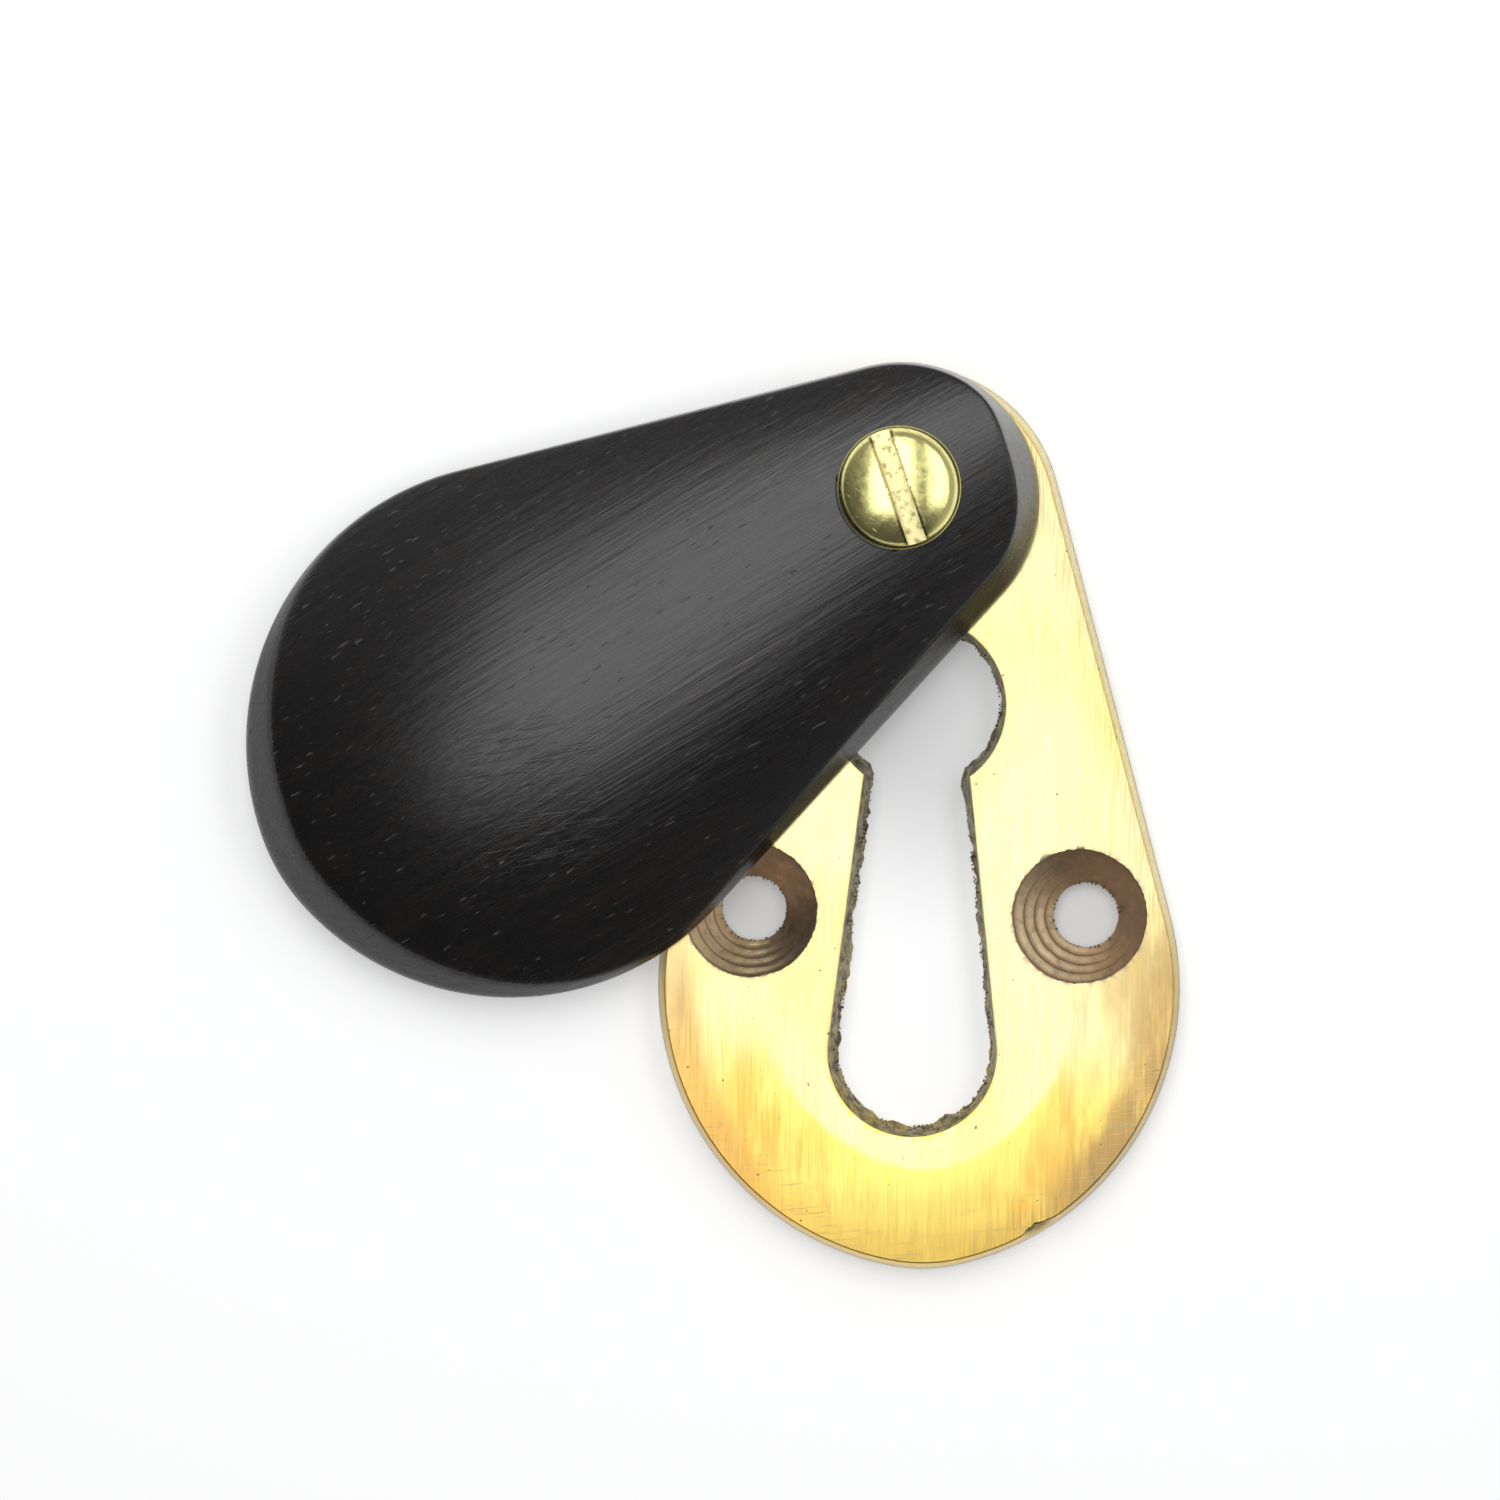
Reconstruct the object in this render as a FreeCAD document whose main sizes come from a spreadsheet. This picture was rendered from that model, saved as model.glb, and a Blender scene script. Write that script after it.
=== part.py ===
import FreeCAD, Part
import math
import os
import Sketcher

# Keyhole escutcheon: a pear-shaped cast brass plate with a keyhole and two fixing holes, and a
# carved ebony cover that swings in front of it on one brass screw.
# Millimetres and degrees. The origin is midway between the two fixing holes, on the plate's back
# face. X runs along the two holes, Y up the keyhole and Z out of the front. The cover stands
# swung open, as it is when the keyhole is in use.

# Every driving size: its alias in the sheet, its value and what it measures.
SIZES = [
    ("plate_thickness", 2.8, "casting, from back face to front face"),
    ("plate_draft", 12.0, "slope of the outer wall from square, so the front face is the smaller"),
    ("plate_half_width", 16.2, "half the width of the back face across its belly"),
    ("plate_belly_ease", 1.5, "how much larger the radius of its flank arcs is than that half width"),
    ("plate_nose_arc", 10.2, "radius of the plate's bottom end"),
    ("plate_head_arc", 9.6, "radius of the plate's top end"),
    ("plate_belly_drop", 4.7, "from the fixing holes down to the widest place"),
    ("plate_head_rise", 24.2, "from the fixing holes up to the centre of the top end"),
    ("outline_lean", 2.4, "lean of the outline and its pivot to the left of the keyhole"),
    ("margin_width", 5.0, "width of the filed margin that falls away to the edge"),
    ("margin_fall", 0.35, "how much the margin has fallen where it meets the edge"),
    ("keyhole_round_radius", 5.4, "round upper part of the keyhole, at the front face"),
    ("keyhole_round_rise", 12.8, "from the fixing holes up to the centre of the round part"),
    ("keyhole_neck_width", 6.5, "neck between the round part and the slot"),
    ("keyhole_end_radius", 5.2, "rounded bottom end of the slot"),
    ("keyhole_end_drop", 8.6, "from the fixing holes down to the centre of the slot's end"),
    ("keyhole_draft", 10.0, "slope of the keyhole's wall from square, wider at the front"),
    ("fixing_spacing", 20.3, "between the centres of the two fixing holes"),
    ("fixing_hole_radius", 2.0, "clear hole for a wood screw"),
    ("countersink_radius", 4.1, "mouth of the stepped countersink"),
    ("countersink_depth", 1.9, "depth of the stepped countersink"),
    ("pivot_rise", 26.1, "from the fixing holes up to the pivot, along the leaning outline"),
    ("screw_radius", 2.0, "shank and thread of the pivot screw"),
    ("thread_clearance", 0.05, "between the tapped hole's wall and the plain thread, each side"),
    ("bearing_clearance", 0.08, "between the shank and the cover's bore, each side"),
    ("cover_gap", 0.15, "between the plate's front face and the back of the cover"),
    ("seat_clearance", 0.1, "between the screw head and its seat in the cover"),
    ("tip_recess", 0.2, "how far the screw's tip stays inside the plate's back face"),
    ("tip_chamfer", 0.4, "chamfer at the screw's tip"),
    ("head_radius", 3.75, "pivot screw's head across its flange"),
    ("head_flange", 0.45, "thickness of the flange under the dome"),
    ("head_lip", 0.22, "width of the flange that shows outside the dome"),
    ("head_dome_height", 1.5, "dome above the flange"),
    ("head_shoulder", 1.0, "radius of the dome's shoulder, where it turns down to the flange"),
    ("slot_width", 1.06, "screwdriver slot"),
    ("slot_depth", 1.0, "screwdriver slot, from the top of the dome"),
    ("slot_lean", 20.0, "lean of the slot to the left of the keyhole"),
    ("cover_half_width", 16.4, "half the width of the cover's back across its belly"),
    ("cover_belly_ease", 1.0, "how much larger the radius of its flank arcs is than that half width"),
    ("cover_nose_arc", 12.2, "radius of the cover's big end"),
    ("cover_head_arc", 8.5, "radius of the cover's narrow end"),
    ("cover_belly_drop", 28.1, "from the pivot to the cover's widest place"),
    ("cover_head_drop", 0.5, "from the pivot to the centre of the narrow end"),
    ("cover_bore_offset", 0.5, "how far the bore stands to the left of the cover's centreline"),
    ("cover_block_height", 8.0, "height of the sawn block before its top is domed"),
    ("rim_side_slope", 26.0, "slope from square of the bevelled rim at the flanks"),
    ("rim_nose_slope", 35.0, "slope from square of the bevelled rim at the big end"),
    ("rim_head_slope", 19.0, "slope from square of the bevelled rim at the narrow end"),
    ("crest_height", 6.6, "highest place of the dome above the cover's back"),
    ("crest_drop", 24.0, "from the pivot to the highest place of the dome"),
    ("crest_head_arc", 330.0, "radius of the crest line from its top to the narrow end"),
    ("crest_nose_arc", 60.0, "radius of the crest line from its top to the big end"),
    ("dome_head_radius", 14.0, "roundness of the dome across the pivot"),
    ("dome_crest_radius", 26.0, "roundness of the dome across its highest place"),
    ("seat_height", 5.6, "flat seat for the screw head, above the cover's back"),
    ("seat_margin", 0.2, "seat beyond the screw head, all round"),
    ("cover_back_bevel", 0.4, "softened edge round the cover's back"),
    ("cover_swing_angle", -60.6, "how far the cover stands swung from closed"),
]

COUNTERSINK_STEPS = 4
# How far a cutting tool runs past the surface that it cuts from.
OVERCUT = 1.0
CARVING_MARGIN = 6.0
# The least volume that a cut has to take away, and how near two heights count as one.
LEAST_CUT = 0.01
SAME_HEIGHT = 1e-6

doc = FreeCAD.newDocument("escutcheon")
sheet = doc.addObject("Spreadsheet::Sheet", "sizes")
for row, (alias, value, meaning) in enumerate(SIZES, start=1):
    sheet.set("A%d" % row, meaning)
    sheet.set("B%d" % row, str(value))
    sheet.setAlias("B%d" % row, alias)
doc.recompute()


def new_body(label):
    """Start a body and give it its label."""
    body = doc.addObject("PartDesign::Body", label)
    body.Label = label
    return body


def origin_plane(body, role):
    """Return one of the body's own origin planes or axes."""
    for feature in body.Origin.OriginFeatures:
        if feature.Role == role:
            return feature
    raise ValueError("no origin feature " + role)


def new_sketch(body, name, role, **offsets):
    """Start a sketch on an origin plane; offsets are expressions for x, y, z and turn."""
    sketch = body.newObject("Sketcher::SketchObject", name)
    sketch.AttachmentSupport = [(origin_plane(body, role), "")]
    sketch.MapMode = "FlatFace"
    turn = offsets.pop("turn", None)
    if turn:
        sketch.AttachmentOffset = FreeCAD.Placement(
            FreeCAD.Vector(), FreeCAD.Rotation(FreeCAD.Vector(0, 0, 1), 1.0))
        sketch.setExpression("AttachmentOffset.Rotation.Angle", turn)
    for axis, expression in offsets.items():
        sketch.setExpression("AttachmentOffset.Base." + axis, expression)
    return sketch


def constrain(sketch, name, expression, *place):
    """Add a dimension to the sketch and drive it by an expression of the sheet."""
    value = sketch.evalExpression(expression)
    index = sketch.addConstraint(Sketcher.Constraint(*place, value))
    sketch.renameConstraint(index, name)
    sketch.setExpression("Constraints." + name, expression)


def add_arc(sketch, centre_x, centre_y, radius, start, end):
    """Add a circular arc that runs anticlockwise from start to end, in radians."""
    circle = Part.Circle(FreeCAD.Vector(centre_x, centre_y, 0), FreeCAD.Vector(0, 0, 1), radius)
    return sketch.addGeometry(Part.ArcOfCircle(circle, start, end), False)


def add_line(sketch, start, end, construction=False):
    """Add a straight line between two (x, y) points."""
    segment = Part.LineSegment(FreeCAD.Vector(*start, 0), FreeCAD.Vector(*end, 0))
    return sketch.addGeometry(segment, construction)


def on_circle(centre_x, centre_y, radius, angle):
    """Return the point of a circle at an angle in radians."""
    return (centre_x + radius * math.cos(angle), centre_y + radius * math.sin(angle))


def draw_pear(sketch, half_width, belly_ease, nose_arc, head_arc, belly_y, head_y):
    """Draw a pear outline, head up: head arc, straight flanks, belly arcs and nose arc.

    Every argument is an expression. All joints are tangent, and the pear is symmetric about
    the sketch's vertical axis.
    """
    belly_arc = "(%s) + (%s)" % (half_width, belly_ease)
    belly = sketch.evalExpression(belly_arc)
    nose = sketch.evalExpression(nose_arc)
    head = sketch.evalExpression(head_arc)
    low = sketch.evalExpression(belly_y)
    high = sketch.evalExpression(head_y)
    across = sketch.evalExpression(belly_ease)
    nose_centre = low - math.sqrt((belly - nose) ** 2 - across ** 2)
    reach = math.hypot(across, high - low)
    flank = math.atan2(high - low, across) - math.acos((belly - head) / reach)
    nose_turn = math.atan2(nose_centre - low, across)

    head_curve = add_arc(sketch, 0, high, head, flank, math.pi - flank)
    left_flank = add_line(sketch, on_circle(0, high, head, math.pi - flank),
                          on_circle(across, low, belly, math.pi - flank))
    left_belly = add_arc(sketch, across, low, belly, math.pi - flank, math.pi - nose_turn)
    nose_curve = add_arc(sketch, 0, nose_centre, nose, math.pi - nose_turn,
                         2 * math.pi + nose_turn)
    right_belly = add_arc(sketch, -across, low, belly, nose_turn, flank)
    right_flank = add_line(sketch, on_circle(-across, low, belly, flank),
                           on_circle(0, high, head, flank))

    ring = [head_curve, left_flank, left_belly, nose_curve, right_belly, right_flank]
    for here, following in zip(ring, ring[1:] + ring[:1]):
        sketch.addConstraint(Sketcher.Constraint("Tangent", here, 2, following, 1))
    sketch.addConstraint(Sketcher.Constraint("Equal", left_belly, right_belly))
    sketch.addConstraint(Sketcher.Constraint("PointOnObject", head_curve, 3, -2))
    constrain(sketch, "head_arc", head_arc, "Radius", head_curve)
    constrain(sketch, "belly_arc", belly_arc, "Radius", left_belly)
    constrain(sketch, "nose_arc", nose_arc, "Radius", nose_curve)
    constrain(sketch, "head_y", head_y, "DistanceY", -1, 1, head_curve, 3)
    constrain(sketch, "left_y", belly_y, "DistanceY", -1, 1, left_belly, 3)
    constrain(sketch, "right_y", belly_y, "DistanceY", -1, 1, right_belly, 3)
    constrain(sketch, "left_x", belly_ease, "DistanceX", -1, 1, left_belly, 3)
    constrain(sketch, "right_x", belly_ease, "DistanceX", right_belly, 3, -1, 1)


def draw_keyhole(sketch):
    """Draw the keyhole: a round part above a slot that widens to a rounded end."""
    radius = sketch.evalExpression("sizes.keyhole_round_radius")
    rise = sketch.evalExpression("sizes.keyhole_round_rise")
    half_neck = sketch.evalExpression("sizes.keyhole_neck_width") / 2
    end = sketch.evalExpression("sizes.keyhole_end_radius")
    drop = sketch.evalExpression("sizes.keyhole_end_drop")
    neck_y = rise - math.sqrt(radius ** 2 - half_neck ** 2)
    corner = math.atan2(neck_y - rise, half_neck)
    reach = math.hypot(half_neck, neck_y + drop)
    flank = math.atan2(neck_y + drop, half_neck) - math.acos(end / reach)

    round_part = add_arc(sketch, 0, rise, radius, corner, math.pi - corner)
    left = add_line(sketch, (-half_neck, neck_y), on_circle(0, -drop, end, math.pi - flank))
    end_part = add_arc(sketch, 0, -drop, end, math.pi - flank, 2 * math.pi + flank)
    right = add_line(sketch, on_circle(0, -drop, end, flank), (half_neck, neck_y))

    sketch.addConstraint(Sketcher.Constraint("Coincident", round_part, 2, left, 1))
    sketch.addConstraint(Sketcher.Constraint("Tangent", left, 2, end_part, 1))
    sketch.addConstraint(Sketcher.Constraint("Tangent", end_part, 2, right, 1))
    sketch.addConstraint(Sketcher.Constraint("Coincident", right, 2, round_part, 1))
    sketch.addConstraint(Sketcher.Constraint("PointOnObject", round_part, 3, -2))
    sketch.addConstraint(Sketcher.Constraint("PointOnObject", end_part, 3, -2))
    sketch.addConstraint(Sketcher.Constraint("Horizontal", left, 1, right, 2))
    constrain(sketch, "round_radius", "sizes.keyhole_round_radius", "Radius", round_part)
    constrain(sketch, "end_radius", "sizes.keyhole_end_radius", "Radius", end_part)
    constrain(sketch, "round_y", "sizes.keyhole_round_rise", "DistanceY", -1, 1, round_part, 3)
    constrain(sketch, "end_y", "sizes.keyhole_end_drop", "DistanceY", end_part, 3, -1, 1)
    constrain(sketch, "neck", "sizes.keyhole_neck_width", "DistanceX", left, 1, right, 2)


def draw_corners(sketch, corners):
    """Draw a closed outline of straight lines through corners given as (x, y) expressions."""
    points = [(sketch.evalExpression(x), sketch.evalExpression(y)) for x, y in corners]
    lines = []
    for start, end in zip(points, points[1:] + points[:1]):
        lines.append(add_line(sketch, start, end))
    for here, following in zip(lines, lines[1:] + lines[:1]):
        sketch.addConstraint(Sketcher.Constraint("Coincident", here, 2, following, 1))
    for number, (line, (x, y)) in enumerate(zip(lines, corners)):
        constrain(sketch, "x%d" % number, x, "DistanceX", -1, 1, line, 1)
        constrain(sketch, "y%d" % number, y, "DistanceY", -1, 1, line, 1)
    return lines


def draw_circle(sketch, radius, centre_y="0"):
    """Draw a full circle on the sketch's vertical axis."""
    circle = Part.Circle(FreeCAD.Vector(0, sketch.evalExpression(centre_y), 0),
                         FreeCAD.Vector(0, 0, 1), sketch.evalExpression(radius))
    index = sketch.addGeometry(circle, False)
    constrain(sketch, "radius", radius, "Radius", index)
    constrain(sketch, "centre_x", "0", "DistanceX", -1, 1, index, 3)
    constrain(sketch, "centre_y", centre_y, "DistanceY", -1, 1, index, 3)


def pocket(body, name, sketch, length, reverse=False):
    """Cut a sketch into the body to a depth given by an expression."""
    feature = body.newObject("PartDesign::Pocket", name)
    feature.Profile = sketch
    feature.setExpression("Length", length)
    feature.Reversed = reverse
    return feature


def cuts(feature):
    """Check that a cutting feature really took material away."""
    doc.recompute()
    before = feature.BaseFeature.Shape.Volume
    after = feature.Shape.Volume
    if after > before - LEAST_CUT:
        raise ValueError(feature.Name + " cuts nothing")


def put_at_pivot(body, height, turn):
    """Stand a body on the pivot's axis at a height, turned about the axis."""
    body.Placement = FreeCAD.Placement(
        FreeCAD.Vector(), FreeCAD.Rotation(FreeCAD.Vector(0, 0, 1), 1.0))
    body.setExpression("Placement.Base.x", "-sizes.pivot_rise * sin(sizes.outline_lean)")
    body.setExpression("Placement.Base.y", "sizes.pivot_rise * cos(sizes.outline_lean)")
    body.setExpression("Placement.Base.z", height)
    body.setExpression("Placement.Rotation.Angle", turn)


def make_plate():
    """Cast plate: drafted pear, filed margin, keyhole, fixing holes and tapped pivot hole."""
    body = new_body("back_plate")
    outline = new_sketch(body, "plate_outline", "XY_Plane", turn="sizes.outline_lean")
    draw_pear(outline, "sizes.plate_half_width", "sizes.plate_belly_ease", "sizes.plate_nose_arc",
              "sizes.plate_head_arc", "-sizes.plate_belly_drop", "sizes.plate_head_rise")
    casting = body.newObject("PartDesign::Pad", "plate_casting")
    casting.Profile = outline
    casting.setExpression("Length", "sizes.plate_thickness")
    casting.setExpression("TaperAngle", "-sizes.plate_draft")
    doc.recompute()

    thickness = sheet.get("plate_thickness")
    arris = ["Edge%d" % number for number, edge in enumerate(casting.Shape.Edges, start=1)
             if all(abs(vertex.Z - thickness) < SAME_HEIGHT for vertex in edge.Vertexes)]
    margin = body.newObject("PartDesign::Chamfer", "plate_margin")
    margin.Base = (casting, arris)
    margin.ChamferType = "Two distances"
    margin.setExpression("Size", "sizes.margin_width")
    margin.setExpression("Size2", "sizes.margin_fall")
    margin.FlipDirection = True
    cuts(margin)

    keyhole = new_sketch(body, "keyhole_outline", "XY_Plane", z="sizes.plate_thickness")
    draw_keyhole(keyhole)
    opening = pocket(body, "keyhole", keyhole, "sizes.plate_thickness + %s" % OVERCUT)
    opening.setExpression("TaperAngle", "-sizes.keyhole_draft")
    cuts(opening)

    steps = new_sketch(body, "countersink_steps", "XZ_Plane", x="sizes.fixing_spacing / 2")
    corners = [("0", "-%s" % OVERCUT), ("sizes.fixing_hole_radius", "-%s" % OVERCUT)]
    tread = "(sizes.countersink_radius - sizes.fixing_hole_radius) / %d" % COUNTERSINK_STEPS
    riser = "sizes.countersink_depth / %d" % COUNTERSINK_STEPS
    floor = "sizes.plate_thickness - sizes.countersink_depth"
    for step in range(COUNTERSINK_STEPS):
        level = "%s + %d * %s" % (floor, step, riser)
        corners.append(("sizes.fixing_hole_radius + %d * %s" % (step, tread), level))
        corners.append(("sizes.fixing_hole_radius + %d * %s" % (step + 1, tread), level))
    top = "sizes.plate_thickness + %s" % OVERCUT
    corners.append(("sizes.countersink_radius", top))
    corners.append(("0", top))
    draw_corners(steps, corners)
    countersink = body.newObject("PartDesign::Groove", "countersink")
    countersink.Profile = steps
    countersink.ReferenceAxis = (steps, ["V_Axis"])
    countersink.Angle = 360
    cuts(countersink)

    both = body.newObject("PartDesign::Mirrored", "both_countersinks")
    both.Originals = [countersink]
    both.MirrorPlane = (origin_plane(body, "YZ_Plane"), [""])
    body.Tip = both
    cuts(both)

    tapping = new_sketch(body, "pivot_hole_outline", "XY_Plane", z="sizes.plate_thickness",
                         turn="sizes.outline_lean")
    draw_circle(tapping, "sizes.screw_radius + sizes.thread_clearance", "sizes.pivot_rise")
    cuts(pocket(body, "pivot_hole", tapping, "sizes.plate_thickness + %s" % OVERCUT))
    return body


def draw_crest(sketch):
    """Draw what is carved off above the crest line, with the leaning axis of the dome."""
    height = sketch.evalExpression("sizes.crest_height")
    drop = sketch.evalExpression("sizes.crest_drop")
    head = sketch.evalExpression("sizes.crest_head_arc")
    nose = sketch.evalExpression("sizes.crest_nose_arc")
    head_end = "sizes.cover_head_arc + %s" % CARVING_MARGIN
    nose_end = "-sizes.cover_belly_drop - sizes.cover_half_width - %s" % CARVING_MARGIN
    top = "sizes.crest_height + sizes.cover_block_height"
    right = sketch.evalExpression(head_end)
    left = sketch.evalExpression(nose_end)
    high = sketch.evalExpression(top)
    head_angle = math.acos((right + drop) / head)
    nose_angle = math.acos((left + drop) / nose)

    head_curve = add_arc(sketch, -drop, height - head, head, head_angle, math.pi / 2)
    nose_curve = add_arc(sketch, -drop, height - nose, nose, math.pi / 2, nose_angle)
    nose_side = add_line(sketch, on_circle(-drop, height - nose, nose, nose_angle), (left, high))
    top_side = add_line(sketch, (left, high), (right, high))
    head_side = add_line(sketch, (right, high), on_circle(-drop, height - head, head, head_angle))
    sketch.addConstraint(Sketcher.Constraint("Tangent", head_curve, 2, nose_curve, 1))
    ring = [nose_curve, nose_side, top_side, head_side, head_curve]
    for here, following in zip(ring, ring[1:]):
        sketch.addConstraint(Sketcher.Constraint("Coincident", here, 2, following, 1))
    sketch.addConstraint(Sketcher.Constraint("Vertical", nose_side))
    sketch.addConstraint(Sketcher.Constraint("Horizontal", top_side))
    sketch.addConstraint(Sketcher.Constraint("Vertical", head_side))
    constrain(sketch, "head_arc", "sizes.crest_head_arc", "Radius", head_curve)
    constrain(sketch, "nose_arc", "sizes.crest_nose_arc", "Radius", nose_curve)
    constrain(sketch, "head_x", "-sizes.crest_drop", "DistanceX", -1, 1, head_curve, 3)
    constrain(sketch, "nose_x", "-sizes.crest_drop", "DistanceX", -1, 1, nose_curve, 3)
    constrain(sketch, "crest", "sizes.crest_height", "DistanceY", -1, 1, head_curve, 2)
    constrain(sketch, "left", nose_end, "DistanceX", -1, 1, nose_side, 2)
    constrain(sketch, "right", head_end, "DistanceX", -1, 1, head_side, 1)
    constrain(sketch, "top", top, "DistanceY", -1, 1, top_side, 1)

    over_pivot = ("sizes.crest_height - sizes.crest_head_arc"
                  " + sqrt(sizes.crest_head_arc ^ 2 - sizes.crest_drop ^ 2)")
    head_depth = over_pivot + " - sizes.dome_head_radius"
    crest_depth = "sizes.crest_height - sizes.dome_crest_radius"
    axis = add_line(sketch, (0, sketch.evalExpression(head_depth)),
                    (-drop, sketch.evalExpression(crest_depth)), True)
    constrain(sketch, "axis_head_x", "0", "DistanceX", -1, 1, axis, 1)
    constrain(sketch, "axis_head_y", head_depth, "DistanceY", -1, 1, axis, 1)
    constrain(sketch, "axis_crest_x", "-sizes.crest_drop", "DistanceX", -1, 1, axis, 2)
    constrain(sketch, "axis_crest_y", crest_depth, "DistanceY", -1, 1, axis, 2)


def make_cover():
    """Carved cover: bevelled pear block, domed top, softened back, bore and screw seat.

    It is drawn with its pivot at the origin, its narrow end up and its back at the bottom.
    """
    body = new_body("swing_cover")
    soft = "sizes.cover_back_bevel"
    rise = "(sizes.cover_block_height - sizes.cover_back_bevel)"
    side = rise + " * tan(sizes.rim_side_slope)"
    nose = rise + " * tan(sizes.rim_nose_slope)"
    head = rise + " * tan(sizes.rim_head_slope)"
    aside = "sizes.cover_bore_offset"
    back = new_sketch(body, "cover_back", "XY_Plane", x=aside)
    draw_pear(back, "sizes.cover_half_width - " + soft, "sizes.cover_belly_ease",
              "sizes.cover_nose_arc - " + soft, "sizes.cover_head_arc - " + soft,
              "-sizes.cover_belly_drop", "-sizes.cover_head_drop")
    widest = new_sketch(body, "cover_widest", "XY_Plane", x=aside, z=soft)
    draw_pear(widest, "sizes.cover_half_width", "sizes.cover_belly_ease", "sizes.cover_nose_arc",
              "sizes.cover_head_arc", "-sizes.cover_belly_drop", "-sizes.cover_head_drop")
    top = new_sketch(body, "cover_block_top", "XY_Plane", x=aside, z="sizes.cover_block_height")
    draw_pear(top, "sizes.cover_half_width - " + side, "sizes.cover_belly_ease",
              "sizes.cover_nose_arc - " + side, "sizes.cover_head_arc - " + side,
              "-sizes.cover_belly_drop + %s - %s" % (nose, side),
              "-sizes.cover_head_drop + %s - %s" % (side, head))
    block = body.newObject("PartDesign::AdditiveLoft", "cover_block")
    block.Profile = back
    block.Sections = [widest, top]
    block.Ruled = True

    carving = new_sketch(body, "crest_line", "YZ_Plane", z=aside)
    draw_crest(carving)
    dome = body.newObject("PartDesign::Groove", "cover_dome")
    dome.Profile = carving
    dome.ReferenceAxis = (carving, ["Axis0"])
    dome.Angle = 360
    cuts(dome)

    bore_circle = new_sketch(body, "bore_circle", "XY_Plane")
    draw_circle(bore_circle, "sizes.screw_radius + sizes.bearing_clearance")
    cuts(pocket(body, "bore", bore_circle, "sizes.cover_block_height", reverse=True))
    seat_circle = new_sketch(body, "seat_circle", "XY_Plane", z="sizes.seat_height")
    draw_circle(seat_circle, "sizes.head_radius + sizes.seat_margin")
    cuts(pocket(body, "seat", seat_circle, "sizes.cover_block_height", reverse=True))

    put_at_pivot(body, "sizes.plate_thickness + sizes.cover_gap",
                 "sizes.outline_lean + sizes.cover_swing_angle")
    return body


def draw_screw(sketch, under_head):
    """Draw half of the pivot screw's profile: tip, shank, flange and dome."""
    tip = "sizes.tip_recess"
    face = under_head + " + sizes.head_flange"
    corners = [
        ("0", tip),
        ("sizes.screw_radius - sizes.tip_chamfer", tip),
        ("sizes.screw_radius", tip + " + sizes.tip_chamfer"),
        ("sizes.screw_radius", under_head),
        ("sizes.head_radius", under_head),
        ("sizes.head_radius", face),
        ("sizes.head_radius - sizes.head_lip", face),
    ]
    lines = []
    points = [(sketch.evalExpression(x), sketch.evalExpression(y)) for x, y in corners]
    for start, end in zip(points, points[1:]):
        lines.append(add_line(sketch, start, end))
    bend = sketch.evalExpression("sizes.head_shoulder")
    dome = sketch.evalExpression("sizes.head_dome_height")
    middle, level = points[-1][0] - bend, points[-1][1]
    radius = (middle ** 2 + dome ** 2 - bend ** 2) / (2 * (dome - bend))
    turn = math.atan2(radius - dome, middle)
    shoulder = add_arc(sketch, middle, level, bend, 0, turn)
    crown = add_arc(sketch, 0, level + dome - radius, radius, turn, math.pi / 2)
    core = add_line(sketch, (0, level + dome), points[0])
    ring = lines + [shoulder, crown, core]
    sketch.addConstraint(Sketcher.Constraint("Tangent", shoulder, 2, crown, 1))
    for here, following in zip(ring, ring[1:] + ring[:1]):
        if here != shoulder:
            sketch.addConstraint(Sketcher.Constraint("Coincident", here, 2, following, 1))
    for number, (x, y) in enumerate(corners):
        constrain(sketch, "x%d" % number, x, "DistanceX", -1, 1, ring[number], 1)
        constrain(sketch, "y%d" % number, y, "DistanceY", -1, 1, ring[number], 1)
    sketch.addConstraint(Sketcher.Constraint("PointOnObject", crown, 3, -2))
    sketch.addConstraint(Sketcher.Constraint("Horizontal", shoulder, 3, shoulder, 1))
    constrain(sketch, "shoulder", "sizes.head_shoulder", "Radius", shoulder)
    sketch.addConstraint(Sketcher.Constraint("Vertical", core))
    constrain(sketch, "dome", face + " + sizes.head_dome_height", "DistanceY", -1, 1, core, 1)


def make_screw():
    """Turned pivot screw: plain thread and shank, flanged round head, screwdriver slot."""
    body = new_body("pivot_screw")
    under_head = "sizes.plate_thickness + sizes.cover_gap + sizes.seat_height + sizes.seat_clearance"
    profile = new_sketch(body, "screw_profile", "XZ_Plane")
    draw_screw(profile, under_head)
    turning = body.newObject("PartDesign::Revolution", "screw_turning")
    turning.Profile = profile
    turning.ReferenceAxis = (profile, ["V_Axis"])
    turning.Angle = 360
    doc.recompute()

    top = under_head + " + sizes.head_flange + sizes.head_dome_height"
    slot = new_sketch(body, "slot_outline", "XY_Plane", z=top)
    half = "sizes.slot_width / 2"
    reach = "sizes.head_radius + %s" % OVERCUT
    draw_corners(slot, [("-" + half, "-(%s)" % reach), (half, "-(%s)" % reach),
                        (half, reach), ("-" + half, reach)])
    cuts(pocket(body, "slot", slot, "sizes.slot_depth"))
    put_at_pivot(body, "0", "sizes.slot_lean")
    return body


def check_document():
    """Stop if any object of the document failed, or a sketch is left loose."""
    for item in doc.Objects:
        if "Invalid" in item.State or "Error" in item.State:
            raise ValueError(item.Name + " failed to build")
        if item.TypeId == "Sketcher::SketchObject" and not item.FullyConstrained:
            raise ValueError(item.Name + " isn't fully constrained")


PIECES = [make_plate(), make_cover(), make_screw()]
doc.recompute()
check_document()
for piece in PIECES:
    if piece.Shape.isNull() or not piece.Shape.isValid():
        raise ValueError(piece.Label + " has no valid shape")

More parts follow.
